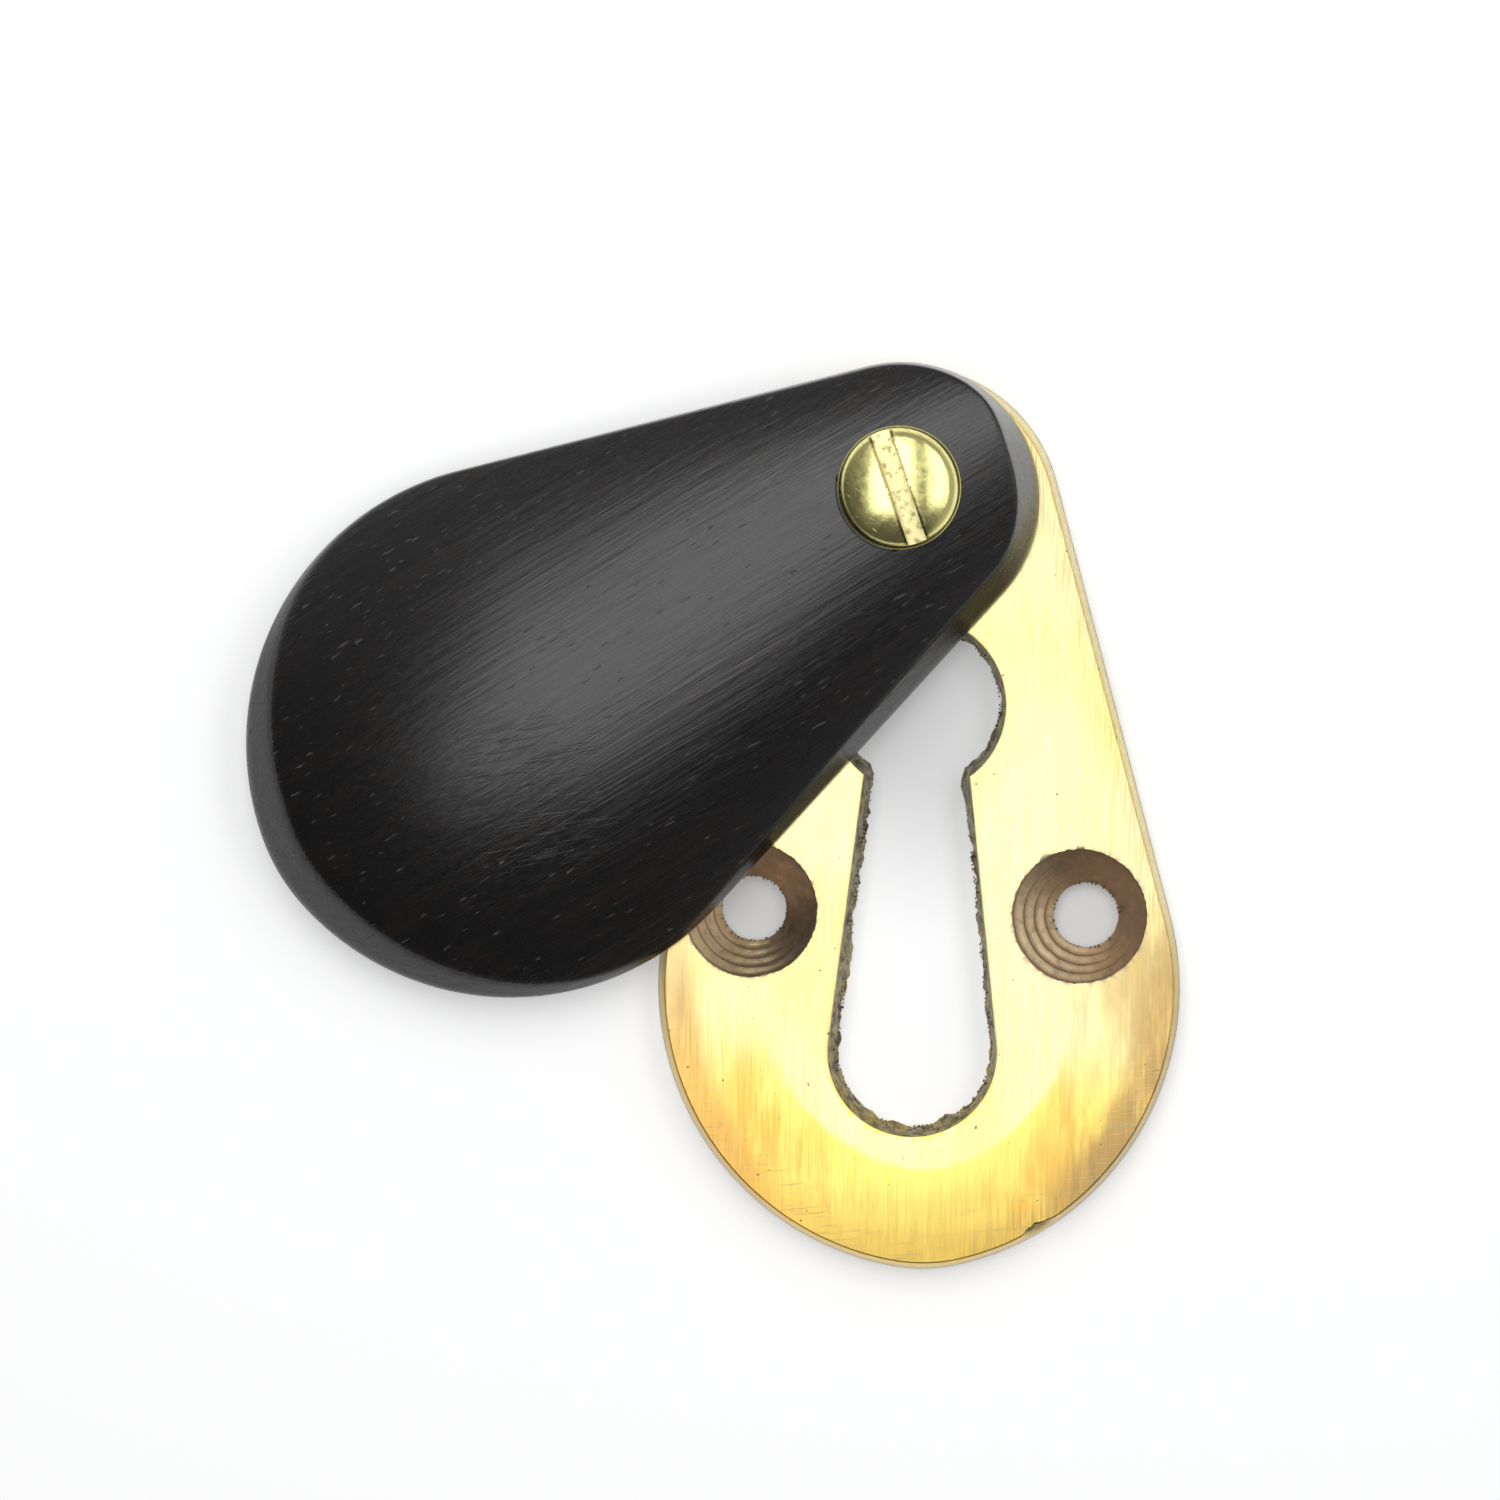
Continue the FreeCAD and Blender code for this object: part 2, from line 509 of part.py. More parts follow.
os.makedirs("parts", exist_ok=True)
for piece in PIECES:
    piece.Shape.exportStep("parts/%s.step" % piece.Label)
    print(piece.Label, "%.1f cubic millimetres" % piece.Shape.Volume)
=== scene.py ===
"""Keyhole escutcheon: the finish of its cast plate, carved cover and pivot screw.

Lengths in the classes are millimetres; meshes are made in metres in the frame of the solids.
The origin is midway between the two fixing holes, X along them, Y up the keyhole, Z out.
"""
import logging
import math
from collections.abc import Callable
from dataclasses import dataclass
from enum import Enum

import bmesh
import bpy
import numpy as np
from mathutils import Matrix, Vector, kdtree, noise
from mathutils.geometry import delaunay_2d_cdt


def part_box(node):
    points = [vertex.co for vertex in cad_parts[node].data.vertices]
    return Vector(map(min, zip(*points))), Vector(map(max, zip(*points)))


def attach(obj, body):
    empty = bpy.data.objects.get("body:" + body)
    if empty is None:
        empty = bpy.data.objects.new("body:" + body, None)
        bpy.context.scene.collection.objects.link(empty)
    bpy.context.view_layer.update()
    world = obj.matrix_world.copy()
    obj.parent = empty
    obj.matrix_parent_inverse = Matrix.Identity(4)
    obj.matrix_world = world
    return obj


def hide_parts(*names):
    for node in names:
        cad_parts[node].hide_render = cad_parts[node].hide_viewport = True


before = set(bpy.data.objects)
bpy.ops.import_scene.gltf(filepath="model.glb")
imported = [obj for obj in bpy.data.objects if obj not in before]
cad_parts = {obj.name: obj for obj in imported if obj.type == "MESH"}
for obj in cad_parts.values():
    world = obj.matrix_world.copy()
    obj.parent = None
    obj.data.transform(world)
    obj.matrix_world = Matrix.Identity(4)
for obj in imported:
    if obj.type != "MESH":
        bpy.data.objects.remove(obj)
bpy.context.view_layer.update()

MM = 0.001
MERGE = 1e-6
SAME_PLACE = 1e-7
SHARP_ANGLE = 38.0
Array = np.ndarray
Point = tuple[float, float]
Colour = tuple[float, float, float, float]
BLACK: Colour = (0.0, 0.0, 0.0, 1.0)
WHITE: Colour = (1.0, 1.0, 1.0, 1.0)
log = logging.getLogger("escutcheon")


def node_centre(node: str) -> Point:
    """Return the middle of a solid's box in plan, in millimetres."""
    low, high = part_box(node)
    return ((low.x + high.x) / 2 / MM, (low.y + high.y) / 2 / MM)


def turn(points: Array, degrees: float, centre: Point = (0.0, 0.0)) -> Array:
    """Turn plan points anticlockwise about the origin, then move the origin to a centre."""
    c, s = math.cos(math.radians(degrees)), math.sin(math.radians(degrees))
    return points @ np.array([[c, s], [-s, c]]) + np.array(centre)


def lift(points: Array, height: Array | float) -> Array:
    """Give plan points a height, one for all or one each."""
    return np.column_stack([points, np.broadcast_to(height, len(points))])


def heading(angles: Array) -> Array:
    """Return the unit vectors of angles in radians."""
    return np.column_stack([np.cos(angles), np.sin(angles)])


def circle(centre: Point, radius: Array | float, count: int) -> Array:
    """Return the points of a circle in plan, anticlockwise, with one radius or one for each point."""
    around = heading(np.linspace(0, 2 * math.pi, count, endpoint=False))
    return np.array(centre) + np.broadcast_to(radius, count)[:, None] * around


def slope(degrees: float) -> float:
    """Return how far a wall that leans from square draws in for each unit of height."""
    return math.tan(math.radians(degrees))


def rough(points: Array, scale: float, seed: float) -> Array:
    """Return smooth noise between about -1 and 1 at each point.

    Args:
        points: rows of x, y and z in millimetres.
        scale: noise features to the millimetre.
        seed: shift that picks another field.

    Returns:
        One value for each point.
    """
    return np.array([noise.noise(Vector(p) * scale + Vector((seed, 2 * seed, 3 * seed))) for p in points])


def arc(centre: Point, radius: float, start: float, end: float, steps: int) -> tuple[Array, Array]:
    """Return the points of an arc without its last one, and their outward unit normals."""
    normals = heading(start + (end - start) * np.arange(steps) / steps)
    return np.array(centre) + radius * normals, normals


def line(begin: Array, finish: Array, normal: Array, steps: int) -> tuple[Array, Array]:
    """Return the points of a straight stretch without its last one, and their unit normals."""
    share = np.arange(steps)[:, None] / steps
    return begin + (finish - begin) * share, np.tile(normal, (steps, 1))


@dataclass(frozen=True)
class Pear:
    """Pear outline in plan, narrow end up: head arc, straight flanks, belly arcs and nose arc."""

    half_width: float
    belly_ease: float
    nose_arc: float
    head_arc: float
    belly_y: float
    head_y: float

    def raised(self, side: float, nose: float, head: float) -> "Pear":
        """Return the outline after its block has drawn in by an amount on each side."""
        return Pear(self.half_width - side, self.belly_ease, self.nose_arc - side, self.head_arc - side,
                    self.belly_y + nose - side, self.head_y + side - head)

    def loop(self, pitch: float, like: "Pear | None" = None) -> tuple[Array, Array]:
        """Sample the outline anticlockwise.

        Args:
            pitch: greatest distance between two points.
            like: another pear that gives the number of points of each stretch.

        Returns:
            The points and their outward unit normals.
        """
        parts = []
        for stretch, model in zip(self.stretches(), (like or self).stretches()):
            x, y, radius, start, end, flank = stretch
            steps = max(2, math.ceil(model[2] * abs(model[4] - model[3]) / pitch))
            parts.append(arc((x, y), radius, start, end, steps))
            steps = math.ceil(model[5] / pitch)
            if steps:
                corner = np.array([math.cos(end), math.sin(end)])
                begin = np.array([x, y]) + radius * corner
                along = np.array([-corner[1], corner[0]])
                parts.append(line(begin, begin + along * flank, corner, steps))
        return np.vstack([points for points, _ in parts]), np.vstack([normals for _, normals in parts])

    def stretches(self) -> list[tuple[float, float, float, float, float, float]]:
        """Return each arc's centre, radius, start, end and the length of the flank that follows."""
        belly = self.half_width + self.belly_ease
        nose_y = self.belly_y - math.sqrt((belly - self.nose_arc) ** 2 - self.belly_ease ** 2)
        rise = self.head_y - self.belly_y
        reach = math.hypot(self.belly_ease, rise)
        flank = math.atan2(rise, self.belly_ease) - math.acos((belly - self.head_arc) / reach)
        low = math.atan2(nose_y - self.belly_y, self.belly_ease)
        straight = math.sqrt(reach ** 2 - (belly - self.head_arc) ** 2)
        return [
            (0.0, self.head_y, self.head_arc, flank, math.pi - flank, straight),
            (self.belly_ease, self.belly_y, belly, math.pi - flank, math.pi - low, 0.0),
            (0.0, nose_y, self.nose_arc, math.pi - low, 2 * math.pi + low, 0.0),
            (-self.belly_ease, self.belly_y, belly, low, flank, straight),
        ]


def within(points: Array, loop: Array) -> Array:
    """Tell for each plan point whether it lies inside a closed loop."""
    inside = np.zeros(len(points), bool)
    x, y = points[:, 0], points[:, 1]
    for (ax, ay), (bx, by) in zip(loop, np.roll(loop, -1, axis=0)):
        if ay != by:
            crosses = (ay > y) != (by > y)
            inside ^= crosses & (x < (bx - ax) * (y - ay) / (by - ay) + ax)
    return inside


def nearest(points: Array, loop: Array) -> tuple[Array, Array]:
    """Return which corner of a loop is nearest to each plan point, and how far it is."""
    tree = kdtree.KDTree(len(loop))
    for index, (x, y) in enumerate(loop):
        tree.insert((x, y, 0.0), index)
    tree.balance()
    found = [tree.find((x, y, 0.0)) for x, y in points]
    return np.array([index for _, index, _ in found]), np.array([gap for _, _, gap in found])


def fill(outer: Array, holes: list[Array], pitch: float) -> tuple[Array, list[tuple[int, ...]]]:
    """Cover the region between an outer loop and its holes with even triangles.

    Args:
        outer: corners of the outer loop.
        holes: corners of each hole.
        pitch: distance between the points that are laid inside.

    Returns:
        The points and the triangles between them.
    """
    def kept(places: Array) -> Array:
        """Tell which points lie in the region."""
        keep = within(places, outer)
        for hole in holes:
            keep &= ~within(places, hole)
        return keep

    low, high = outer.min(axis=0), outer.max(axis=0)
    rows = np.arange(low[1], high[1], pitch * math.sqrt(0.75))
    columns = np.arange(low[0], high[0], pitch)
    grid = np.array([(x + (row % 2) * pitch / 2, y) for row, y in enumerate(rows) for x in columns])
    grid = grid[kept(grid)]
    grid = grid[nearest(grid, np.vstack([outer] + holes))[1] > 0.6 * pitch]
    points, edges = [], []
    for loop in [outer] + holes:
        first = len(points)
        points.extend(loop)
        edges.extend((first + i, first + (i + 1) % len(loop)) for i in range(len(loop)))
    points.extend(grid)
    made = delaunay_2d_cdt([Vector(p) for p in points], edges, [], 0, MERGE)
    vertices = np.array([tuple(v) for v in made[0]])
    faces = np.array(made[2])
    keep = kept(vertices[faces].mean(axis=1))
    return vertices, [tuple(int(i) for i in face) for face in faces[keep]]


class Draft:
    """Collects rings, strips and filled regions, and closes them into one mesh."""

    def __init__(self, **attributes: float) -> None:
        """Start empty, with the named point attributes and their default values."""
        self.points: list[Array] = []
        self.faces: list[tuple[int, ...]] = []
        self.defaults = attributes
        self.values: dict[str, list[Array]] = {name: [] for name in attributes}
        self.count = 0

    def add(self, points: Array, faces: list[tuple[int, ...]], **values: Array | float) -> None:
        """Add points with their faces and attribute values.

        Args:
            points: rows of x, y and z.
            faces: corners by their place among these points.
            values: an attribute's value, one for all points or one each.
        """
        self.faces.extend(tuple(self.count + i for i in face) for face in faces)
        self.points.append(points)
        for name, default in self.defaults.items():
            given = np.broadcast_to(values.get(name, default), len(points))
            self.values[name].append(np.array(given, float))
        self.count += len(points)

    def rings(self, rings: list[Array], **values: Array | float) -> None:
        """Join closed rings of equal length by strips of faces.

        Args:
            rings: each ring's points, in order from one end of the wall to the other.
            values: attribute values, for all points, one for each ring, or a row of them for each ring.
        """
        size = len(rings[0])
        faces = []
        for here in range(0, (len(rings) - 1) * size, size):
            above = here + size
            for i in range(size):
                j = (i + 1) % size
                faces.append((here + i, here + j, above + j, above + i))
        spread = {name: np.broadcast_to(np.reshape(value, (len(value), -1)), (len(rings), size)).ravel()
                  if np.ndim(value) else value for name, value in values.items()}
        self.add(np.vstack(rings), faces, **spread)

    def fan(self, ring: Array, height: float) -> None:
        """Close a ring about the Z axis by triangles to a point on the axis."""
        size = len(ring)
        self.add(np.vstack([ring, [[0, 0, height]]]), [(i, (i + 1) % size, size) for i in range(size)])

    def piece(self, name: str, material: bpy.types.Material, sharp: float = SHARP_ANGLE) -> bpy.types.Object:
        """Close what was collected into a smooth-shaded object with its attributes.

        Args:
            name: the object's name.
            material: its finish.
            sharp: edges that fold by more than this many degrees stay crisp.

        Returns:
            The object, at the origin.
        """
        mesh = bpy.data.meshes.new(name)
        mesh.from_pydata((np.vstack(self.points) * MM).tolist(), [], self.faces)
        for key, parts in self.values.items():
            attribute = mesh.attributes.new(key, "FLOAT", "POINT")
            attribute.data.foreach_set("value", np.concatenate(parts).astype(np.float32))
        made = bmesh.new()
        made.from_mesh(mesh)
        bmesh.ops.remove_doubles(made, verts=made.verts, dist=MERGE)
        bmesh.ops.dissolve_degenerate(made, edges=made.edges, dist=MERGE)
        bmesh.ops.recalc_face_normals(made, faces=made.faces)
        made.to_mesh(mesh)
        made.free()
        mesh.shade_smooth()
        mesh.set_sharp_from_angle(angle=math.radians(sharp))
        mesh.materials.append(material)
        return place(bpy.data.objects.new(name, mesh))


def place(piece: bpy.types.Object) -> bpy.types.Object:
    """Put an object in the scene and return it."""
    bpy.context.scene.collection.objects.link(piece)
    return piece


class Recipe:
    """Adds and joins the nodes of one node tree."""

    def __init__(self, tree: bpy.types.NodeTree) -> None:
        """Work on a node tree."""
        self.tree = tree

    def node(self, kind: str, inputs: dict[str | int, object] | None = None,
             **settings: object) -> bpy.types.Node:
        """Add a node.

        Args:
            kind: the node's type.
            inputs: a value or a socket for each named or numbered input.
            settings: the node's properties.

        Returns:
            The node.
        """
        made = self.tree.nodes.new(kind)
        for key, value in settings.items():
            setattr(made, key, value)
        for key, value in (inputs or {}).items():
            self.feed(made.inputs[key], value)
        return made

    def feed(self, socket: bpy.types.NodeSocket, value: object) -> None:
        """Give a socket a value or link it to another socket."""
        if isinstance(value, bpy.types.NodeSocket):
            self.tree.links.new(value, socket)
        elif value is not None:
            socket.default_value = value

    def math(self, operation: str, *values: object, clamp: bool = False) -> bpy.types.NodeSocket:
        """Add a Math node for up to three values or sockets; clamp keeps it between 0 and 1."""
        made = self.node("ShaderNodeMath", dict(enumerate(values)), operation=operation, use_clamp=clamp)
        return made.outputs[0]

    def times(self, first: object, *others: object) -> bpy.types.NodeSocket:
        """Multiply values or sockets."""
        for other in others:
            first = self.math("MULTIPLY", first, other)
        return first

    def raised(self, base: object, value: object, factor: float, clamp: bool = False) -> bpy.types.NodeSocket:
        """Add a value times a factor to a base."""
        return self.math("MULTIPLY_ADD", value, factor, base, clamp=clamp)

    def span(self, value: object, low: float, high: float, to_low: float = 0.0,
             to_high: float = 1.0) -> bpy.types.NodeSocket:
        """Map a span of a value smoothly to another span."""
        spread = dict(enumerate((value, low, high, to_low, to_high)))
        return self.node("ShaderNodeMapRange", spread, interpolation_type="SMOOTHSTEP").outputs[0]

    def mix(self, share: object, first: object, second: object) -> bpy.types.NodeSocket:
        """Mix two colours by a share of the second."""
        return self.node("ShaderNodeMix", {0: share, 6: first, 7: second}, data_type="RGBA").outputs[2]

    def layers(self, colour: object, layers: list[tuple[object, object]]) -> object:
        """Lay colours over a first one, each by its share, and return the result."""
        for share, tint in layers:
            colour = self.mix(share, colour, tint)
        return colour

    def noise(self, coords: bpy.types.NodeSocket, stretch: tuple[float, float, float], detail: float = 2.0,
              roughness: float = 0.5, shift: float = 0.0) -> bpy.types.NodeSocket:
        """Add noise that has its own scale along each axis.

        Args:
            coords: coordinates in millimetres.
            stretch: features to the millimetre along X, Y and Z.
            detail: octaves.
            roughness: strength of the finer octaves.
            shift: picks another field.

        Returns:
            Noise about 0.5.
        """
        scaled = self.node("ShaderNodeMapping", {"Vector": coords, "Scale": stretch, "Location": (shift,) * 3})
        return self.node("ShaderNodeTexNoise", {"Vector": scaled.outputs[0], "Scale": 1.0, "Detail": detail,
                                                "Roughness": roughness}).outputs[0]

    def attribute(self, name: str) -> bpy.types.NodeSocket:
        """Read a point attribute of the mesh."""
        return self.node("ShaderNodeAttribute", attribute_name=name).outputs["Fac"]

    def millimetres(self, degrees: float = 0.0) -> bpy.types.NodeSocket:
        """Return object coordinates in millimetres, turned about Z."""
        coords = self.node("ShaderNodeTexCoord").outputs["Object"]
        return self.node("ShaderNodeMapping", {
            "Vector": coords, "Rotation": (0.0, 0.0, math.radians(degrees)), "Scale": (1 / MM,) * 3,
        }).outputs[0]

    def plan(self, coords: bpy.types.NodeSocket) -> tuple[bpy.types.NodeSocket, bpy.types.NodeSocket]:
        """Return the x and y of coordinates."""
        parts = self.node("ShaderNodeSeparateXYZ", {0: coords}).outputs
        return parts["X"], parts["Y"]

    def distance(self, coords: bpy.types.NodeSocket, centre: tuple[float, float, float]) -> bpy.types.NodeSocket:
        """Return how far coordinates are from a centre."""
        return self.node("ShaderNodeVectorMath", {0: coords, 1: centre}, operation="DISTANCE").outputs["Value"]

    def tangent(self, degrees: float) -> bpy.types.NodeSocket:
        """Return the direction at an angle in the plan of the object, for brushed reflections."""
        way = (math.cos(math.radians(degrees)), math.sin(math.radians(degrees)), 0.0)
        return self.node("ShaderNodeVectorTransform", {0: way}, vector_type="VECTOR", convert_from="OBJECT",
                         convert_to="WORLD").outputs[0]

    def relief(self, *bumps: tuple[object, float, float]) -> bpy.types.NodeSocket:
        """Lay bumps over one another, each a height, its depth in millimetres and its strength."""
        normal = None
        for height, depth, strength in bumps:
            normal = self.node("ShaderNodeBump", {"Height": height, "Distance": depth * MM, "Strength": strength,
                                                  "Normal": normal}).outputs[0]
        return normal

    def surface(self, kind: str, shading: bpy.types.Node) -> None:
        """Join a shader to the tree's output."""
        self.node(kind, {"Surface": shading.outputs[0]})


def shader(name: str) -> tuple[bpy.types.Material, Recipe]:
    """Start a material and return it with the recipe of its empty tree."""
    material = bpy.data.materials.new(name)
    material.use_nodes = True
    material.node_tree.nodes.clear()
    return material, Recipe(material.node_tree)


@dataclass(frozen=True)
class CastBrass:
    """Linished cast brass: brushed up and down, warm where its margin was filed, dull where it was cut."""

    pale: Colour = (0.80, 0.72, 0.40, 1.0)
    golden: Colour = (0.98, 0.77, 0.18, 1.0)
    orange: Colour = (0.86, 0.48, 0.10, 1.0)
    brown: Colour = (0.42, 0.28, 0.12, 1.0)
    bronze: Colour = (0.37, 0.275, 0.205, 1.0)
    bronze_glint: Colour = (0.62, 0.44, 0.24, 1.0)
    # painted highlight on the lower-left treads of the countersinks
    worn_bronze: Colour = (0.90, 0.70, 0.42, 1.0)
    dark: Colour = (0.075, 0.062, 0.036, 1.0)
    margin: float = 5.9
    roughness: float = 0.34
    spread: float = 0.8
    brush_depth: float = 0.0010
    grime_depth: float = 0.05

    def material(self) -> bpy.types.Material:
        """Build the node material."""
        material, recipe = shader("cast_brass_finish")
        here = recipe.millimetres()
        brushed = recipe.noise(here, (6.0, 0.10, 1.0), 3.0, 0.65)
        hairlines = recipe.noise(here, (22.0, 0.30, 2.0), 2.0, 0.6, 7.0)
        grime_and_shade = recipe.noise(here, (1.6, 1.6, 1.6), 4.0, 0.65, 11.0)
        cut, sink = recipe.attribute("cut"), recipe.attribute("sink")
        scratches = self.scratches(recipe)
        colour = recipe.layers(self.pale, self.face(recipe, brushed, hairlines) + [
            (recipe.times(scratches, 0.5), self.pale),
            (sink, self.countersunk(recipe, grime_and_shade)),
            (recipe.times(cut, recipe.span(grime_and_shade, 0.35, 0.65, 1.0, 0.65)), self.dark),
        ])
        dull = recipe.math("MAXIMUM", cut, sink)
        polish = recipe.span(hairlines, 0.3, 0.7, self.roughness - 0.05, self.roughness + 0.06)
        polish = recipe.raised(recipe.raised(polish, dull, 0.1), scratches, 0.15)
        recipe.surface("ShaderNodeOutputMaterial", recipe.node("ShaderNodeBsdfPrincipled", {
            "Base Color": colour, "Metallic": 1.0, "Roughness": polish,
            "Anisotropic": recipe.times(recipe.math("SUBTRACT", 1.0, dull), self.spread),
            "Tangent": recipe.tangent(0.0),
            "Normal": recipe.relief((brushed, self.brush_depth, 0.5), (hairlines, self.brush_depth / 3, 0.5),
                                    (recipe.times(grime_and_shade, dull), self.grime_depth, 0.5)),
        }))
        return material

    def face(self, recipe: Recipe, brushed: object, hairlines: object) -> list[tuple[object, Colour]]:
        """Return the tints of the front and the wall, from the first to the last.

        Args:
            recipe: the material's recipe.
            brushed: noise of the brush marks.
            hairlines: noise of the finer marks.

        Returns:
            Each tint's share and colour.
        """
        here = recipe.millimetres()
        x, y = recipe.plan(here)
        aside = recipe.math("ABSOLUTE", x)
        edge = recipe.attribute("edge")
        blotch = recipe.noise(here, (0.16, 0.11, 0.2), 3.0, 0.55, 3.0)
        patches = recipe.noise(here, (0.5, 0.16, 0.3), 3.0, 0.6, 17.0)
        specks = recipe.noise(here, (2.6, 2.6, 2.6), 1.0, 0.4, 23.0)

        wander = recipe.raised(recipe.math("ADD", edge, -0.6), blotch, 1.2)
        warm = recipe.times(recipe.span(wander, self.margin + 0.25, self.margin - 0.35),
                            recipe.span(y, -6.5, -13.0))
        rim = recipe.times(recipe.span(edge, 3.0, 0.8), recipe.span(y, 2.0, -8.0))
        deep = recipe.times(warm, recipe.span(patches, 0.34, 0.62), recipe.span(aside, 2.0, 7.5, 0.15, 1.0))
        deep = recipe.math("MAXIMUM", deep, recipe.times(rim, 0.6))
        flank = recipe.times(rim, recipe.span(aside, 7.0, 11.5), recipe.span(patches, 0.25, 0.6, 0.4, 1.0))
        filed = recipe.times(recipe.span(edge, 1.9, 0.3), recipe.span(x, 2.0, 6.0),
                             recipe.span(hairlines, 0.42, 0.62))
        south_west = recipe.times(recipe.span(x, -4.0, -10.0), recipe.span(y, -6.0, -11.0),
                                  recipe.span(patches, 0.2, 0.6, 0.4, 1.0))
        low_east = recipe.times(recipe.span(x, 7.0, 14.0), recipe.span(y, 4.0, -4.0),
                                recipe.span(patches, 0.3, 0.6))
        return [
            (recipe.span(blotch, 0.38, 0.72, 0.0, 0.45), self.golden),
            (recipe.times(warm, 0.95), self.golden),
            (recipe.times(deep, 0.75), self.orange),
            (recipe.times(flank, 0.85), self.brown),
            (recipe.times(filed, 0.5), self.brown),
            (recipe.times(south_west, 0.55), self.orange),
            (recipe.times(low_east, 0.6), self.brown),
            (recipe.times(recipe.attribute("wall"), 0.3), self.golden),
            (recipe.span(brushed, 0.5, 0.72, 0.0, 0.3), self.orange),
            (recipe.span(specks, 0.775, 0.79, 0.0, 0.8), self.dark),
        ]

    def scratches(self, recipe: Recipe) -> bpy.types.NodeSocket:
        """Return the strength of the scratches that cross the lower margin."""
        _, y = recipe.plan(recipe.millimetres())
        scratched = recipe.noise(recipe.millimetres(-6.0), (0.35, 14.0, 1.0), 1.0, 0.5, 41.0)
        return recipe.times(recipe.span(scratched, 0.62, 0.70), recipe.span(recipe.attribute("edge"), 4.0, 1.5),
                            recipe.span(y, -6.0, -14.0))

    def countersunk(self, recipe: Recipe, grime_and_shade: object) -> bpy.types.NodeSocket:
        """Return the bronze of the countersinks, with painted glints and a painted highlight on the treads of the
        lower-left side.
        """
        worn = recipe.attribute("worn")
        # painted glints and painted highlight, strongest on the treads toward the lower left
        glints = recipe.times(recipe.span(grime_and_shade, 0.5, 0.68), recipe.raised(0.25, worn, 0.8, clamp=True))
        bright = recipe.times(worn, recipe.span(grime_and_shade, 0.30, 0.5, 0.5, 1.0))
        return recipe.layers(self.bronze, [(glints, self.bronze_glint), (bright, self.worn_bronze)])


@dataclass(frozen=True)
class TurnedBrass:
    """Bright turned brass of the pivot screw."""

    bright: Colour = (0.86, 0.80, 0.33, 1.0)
    dull: Colour = (0.45, 0.40, 0.15, 1.0)
    worn: Colour = (0.88, 0.80, 0.42, 1.0)
    # dark of the painted shade and grime along the slot's edges
    grime_and_shade: Colour = (0.17, 0.135, 0.05, 1.0)
    slot_edge_shade_and_grime: float = 0.9
    # painted reflection: an orange patch on the head's east shoulder stands for the brass plate mirrored there
    painted_reflection: Colour = (0.92, 0.50, 0.07, 1.0)
    painted_reflection_centre: tuple[float, float, float] = (1.5, 25.4, 9.4)
    painted_reflection_reach: Point = (0.62, 0.3)
    roughness: float = 0.16

    def material(self) -> bpy.types.Material:
        """Build the node material."""
        material, recipe = shader("turned_brass_finish")
        here = recipe.millimetres()
        spots = recipe.noise(here, (2.2, 2.2, 2.2), 4.0, 0.6)
        handled = recipe.noise(here, (6.0, 6.0, 6.0), 3.0, 0.7, 5.0)
        cut = recipe.attribute("cut")
        # painted reflection of the brass plate on the head's east shoulder
        painted_reflection = recipe.times(recipe.span(recipe.distance(here, self.painted_reflection_centre), *self.painted_reflection_reach, 0.0, 0.85),
                             recipe.span(spots, 0.3, 0.5))
        scuffs = recipe.span(recipe.noise(recipe.millimetres(35.0), (1.2, 9.0, 2.0), 2.0, 0.6, 19.0), 0.66, 0.74)
        colour = recipe.layers(self.bright, [
            (recipe.span(handled, 0.55, 0.8, 0.0, 0.5), self.dull),
            (painted_reflection, self.painted_reflection),
            (recipe.times(scuffs, 0.5), self.dull),
            (cut, recipe.mix(recipe.span(spots, 0.52, 0.66, 0.0, 0.9), self.worn, self.dull)),
            # painted shade with grime: dark lines along the slot's edges stand in for its shadowed walls
            (recipe.times(recipe.attribute("edge"), self.slot_edge_shade_and_grime), self.grime_and_shade),
        ])
        polish = recipe.span(spots, 0.3, 0.7, self.roughness, self.roughness + 0.1)
        recipe.surface("ShaderNodeOutputMaterial", recipe.node("ShaderNodeBsdfPrincipled", {
            "Base Color": colour, "Metallic": 1.0, "Roughness": recipe.raised(polish, cut, 0.3),
            "Normal": recipe.relief((spots, 0.010, 0.5), (recipe.math("SUBTRACT", 1.0, scuffs), 0.012, 0.8),
                                    (handled, 0.004, 0.6)),
        }))
        return material


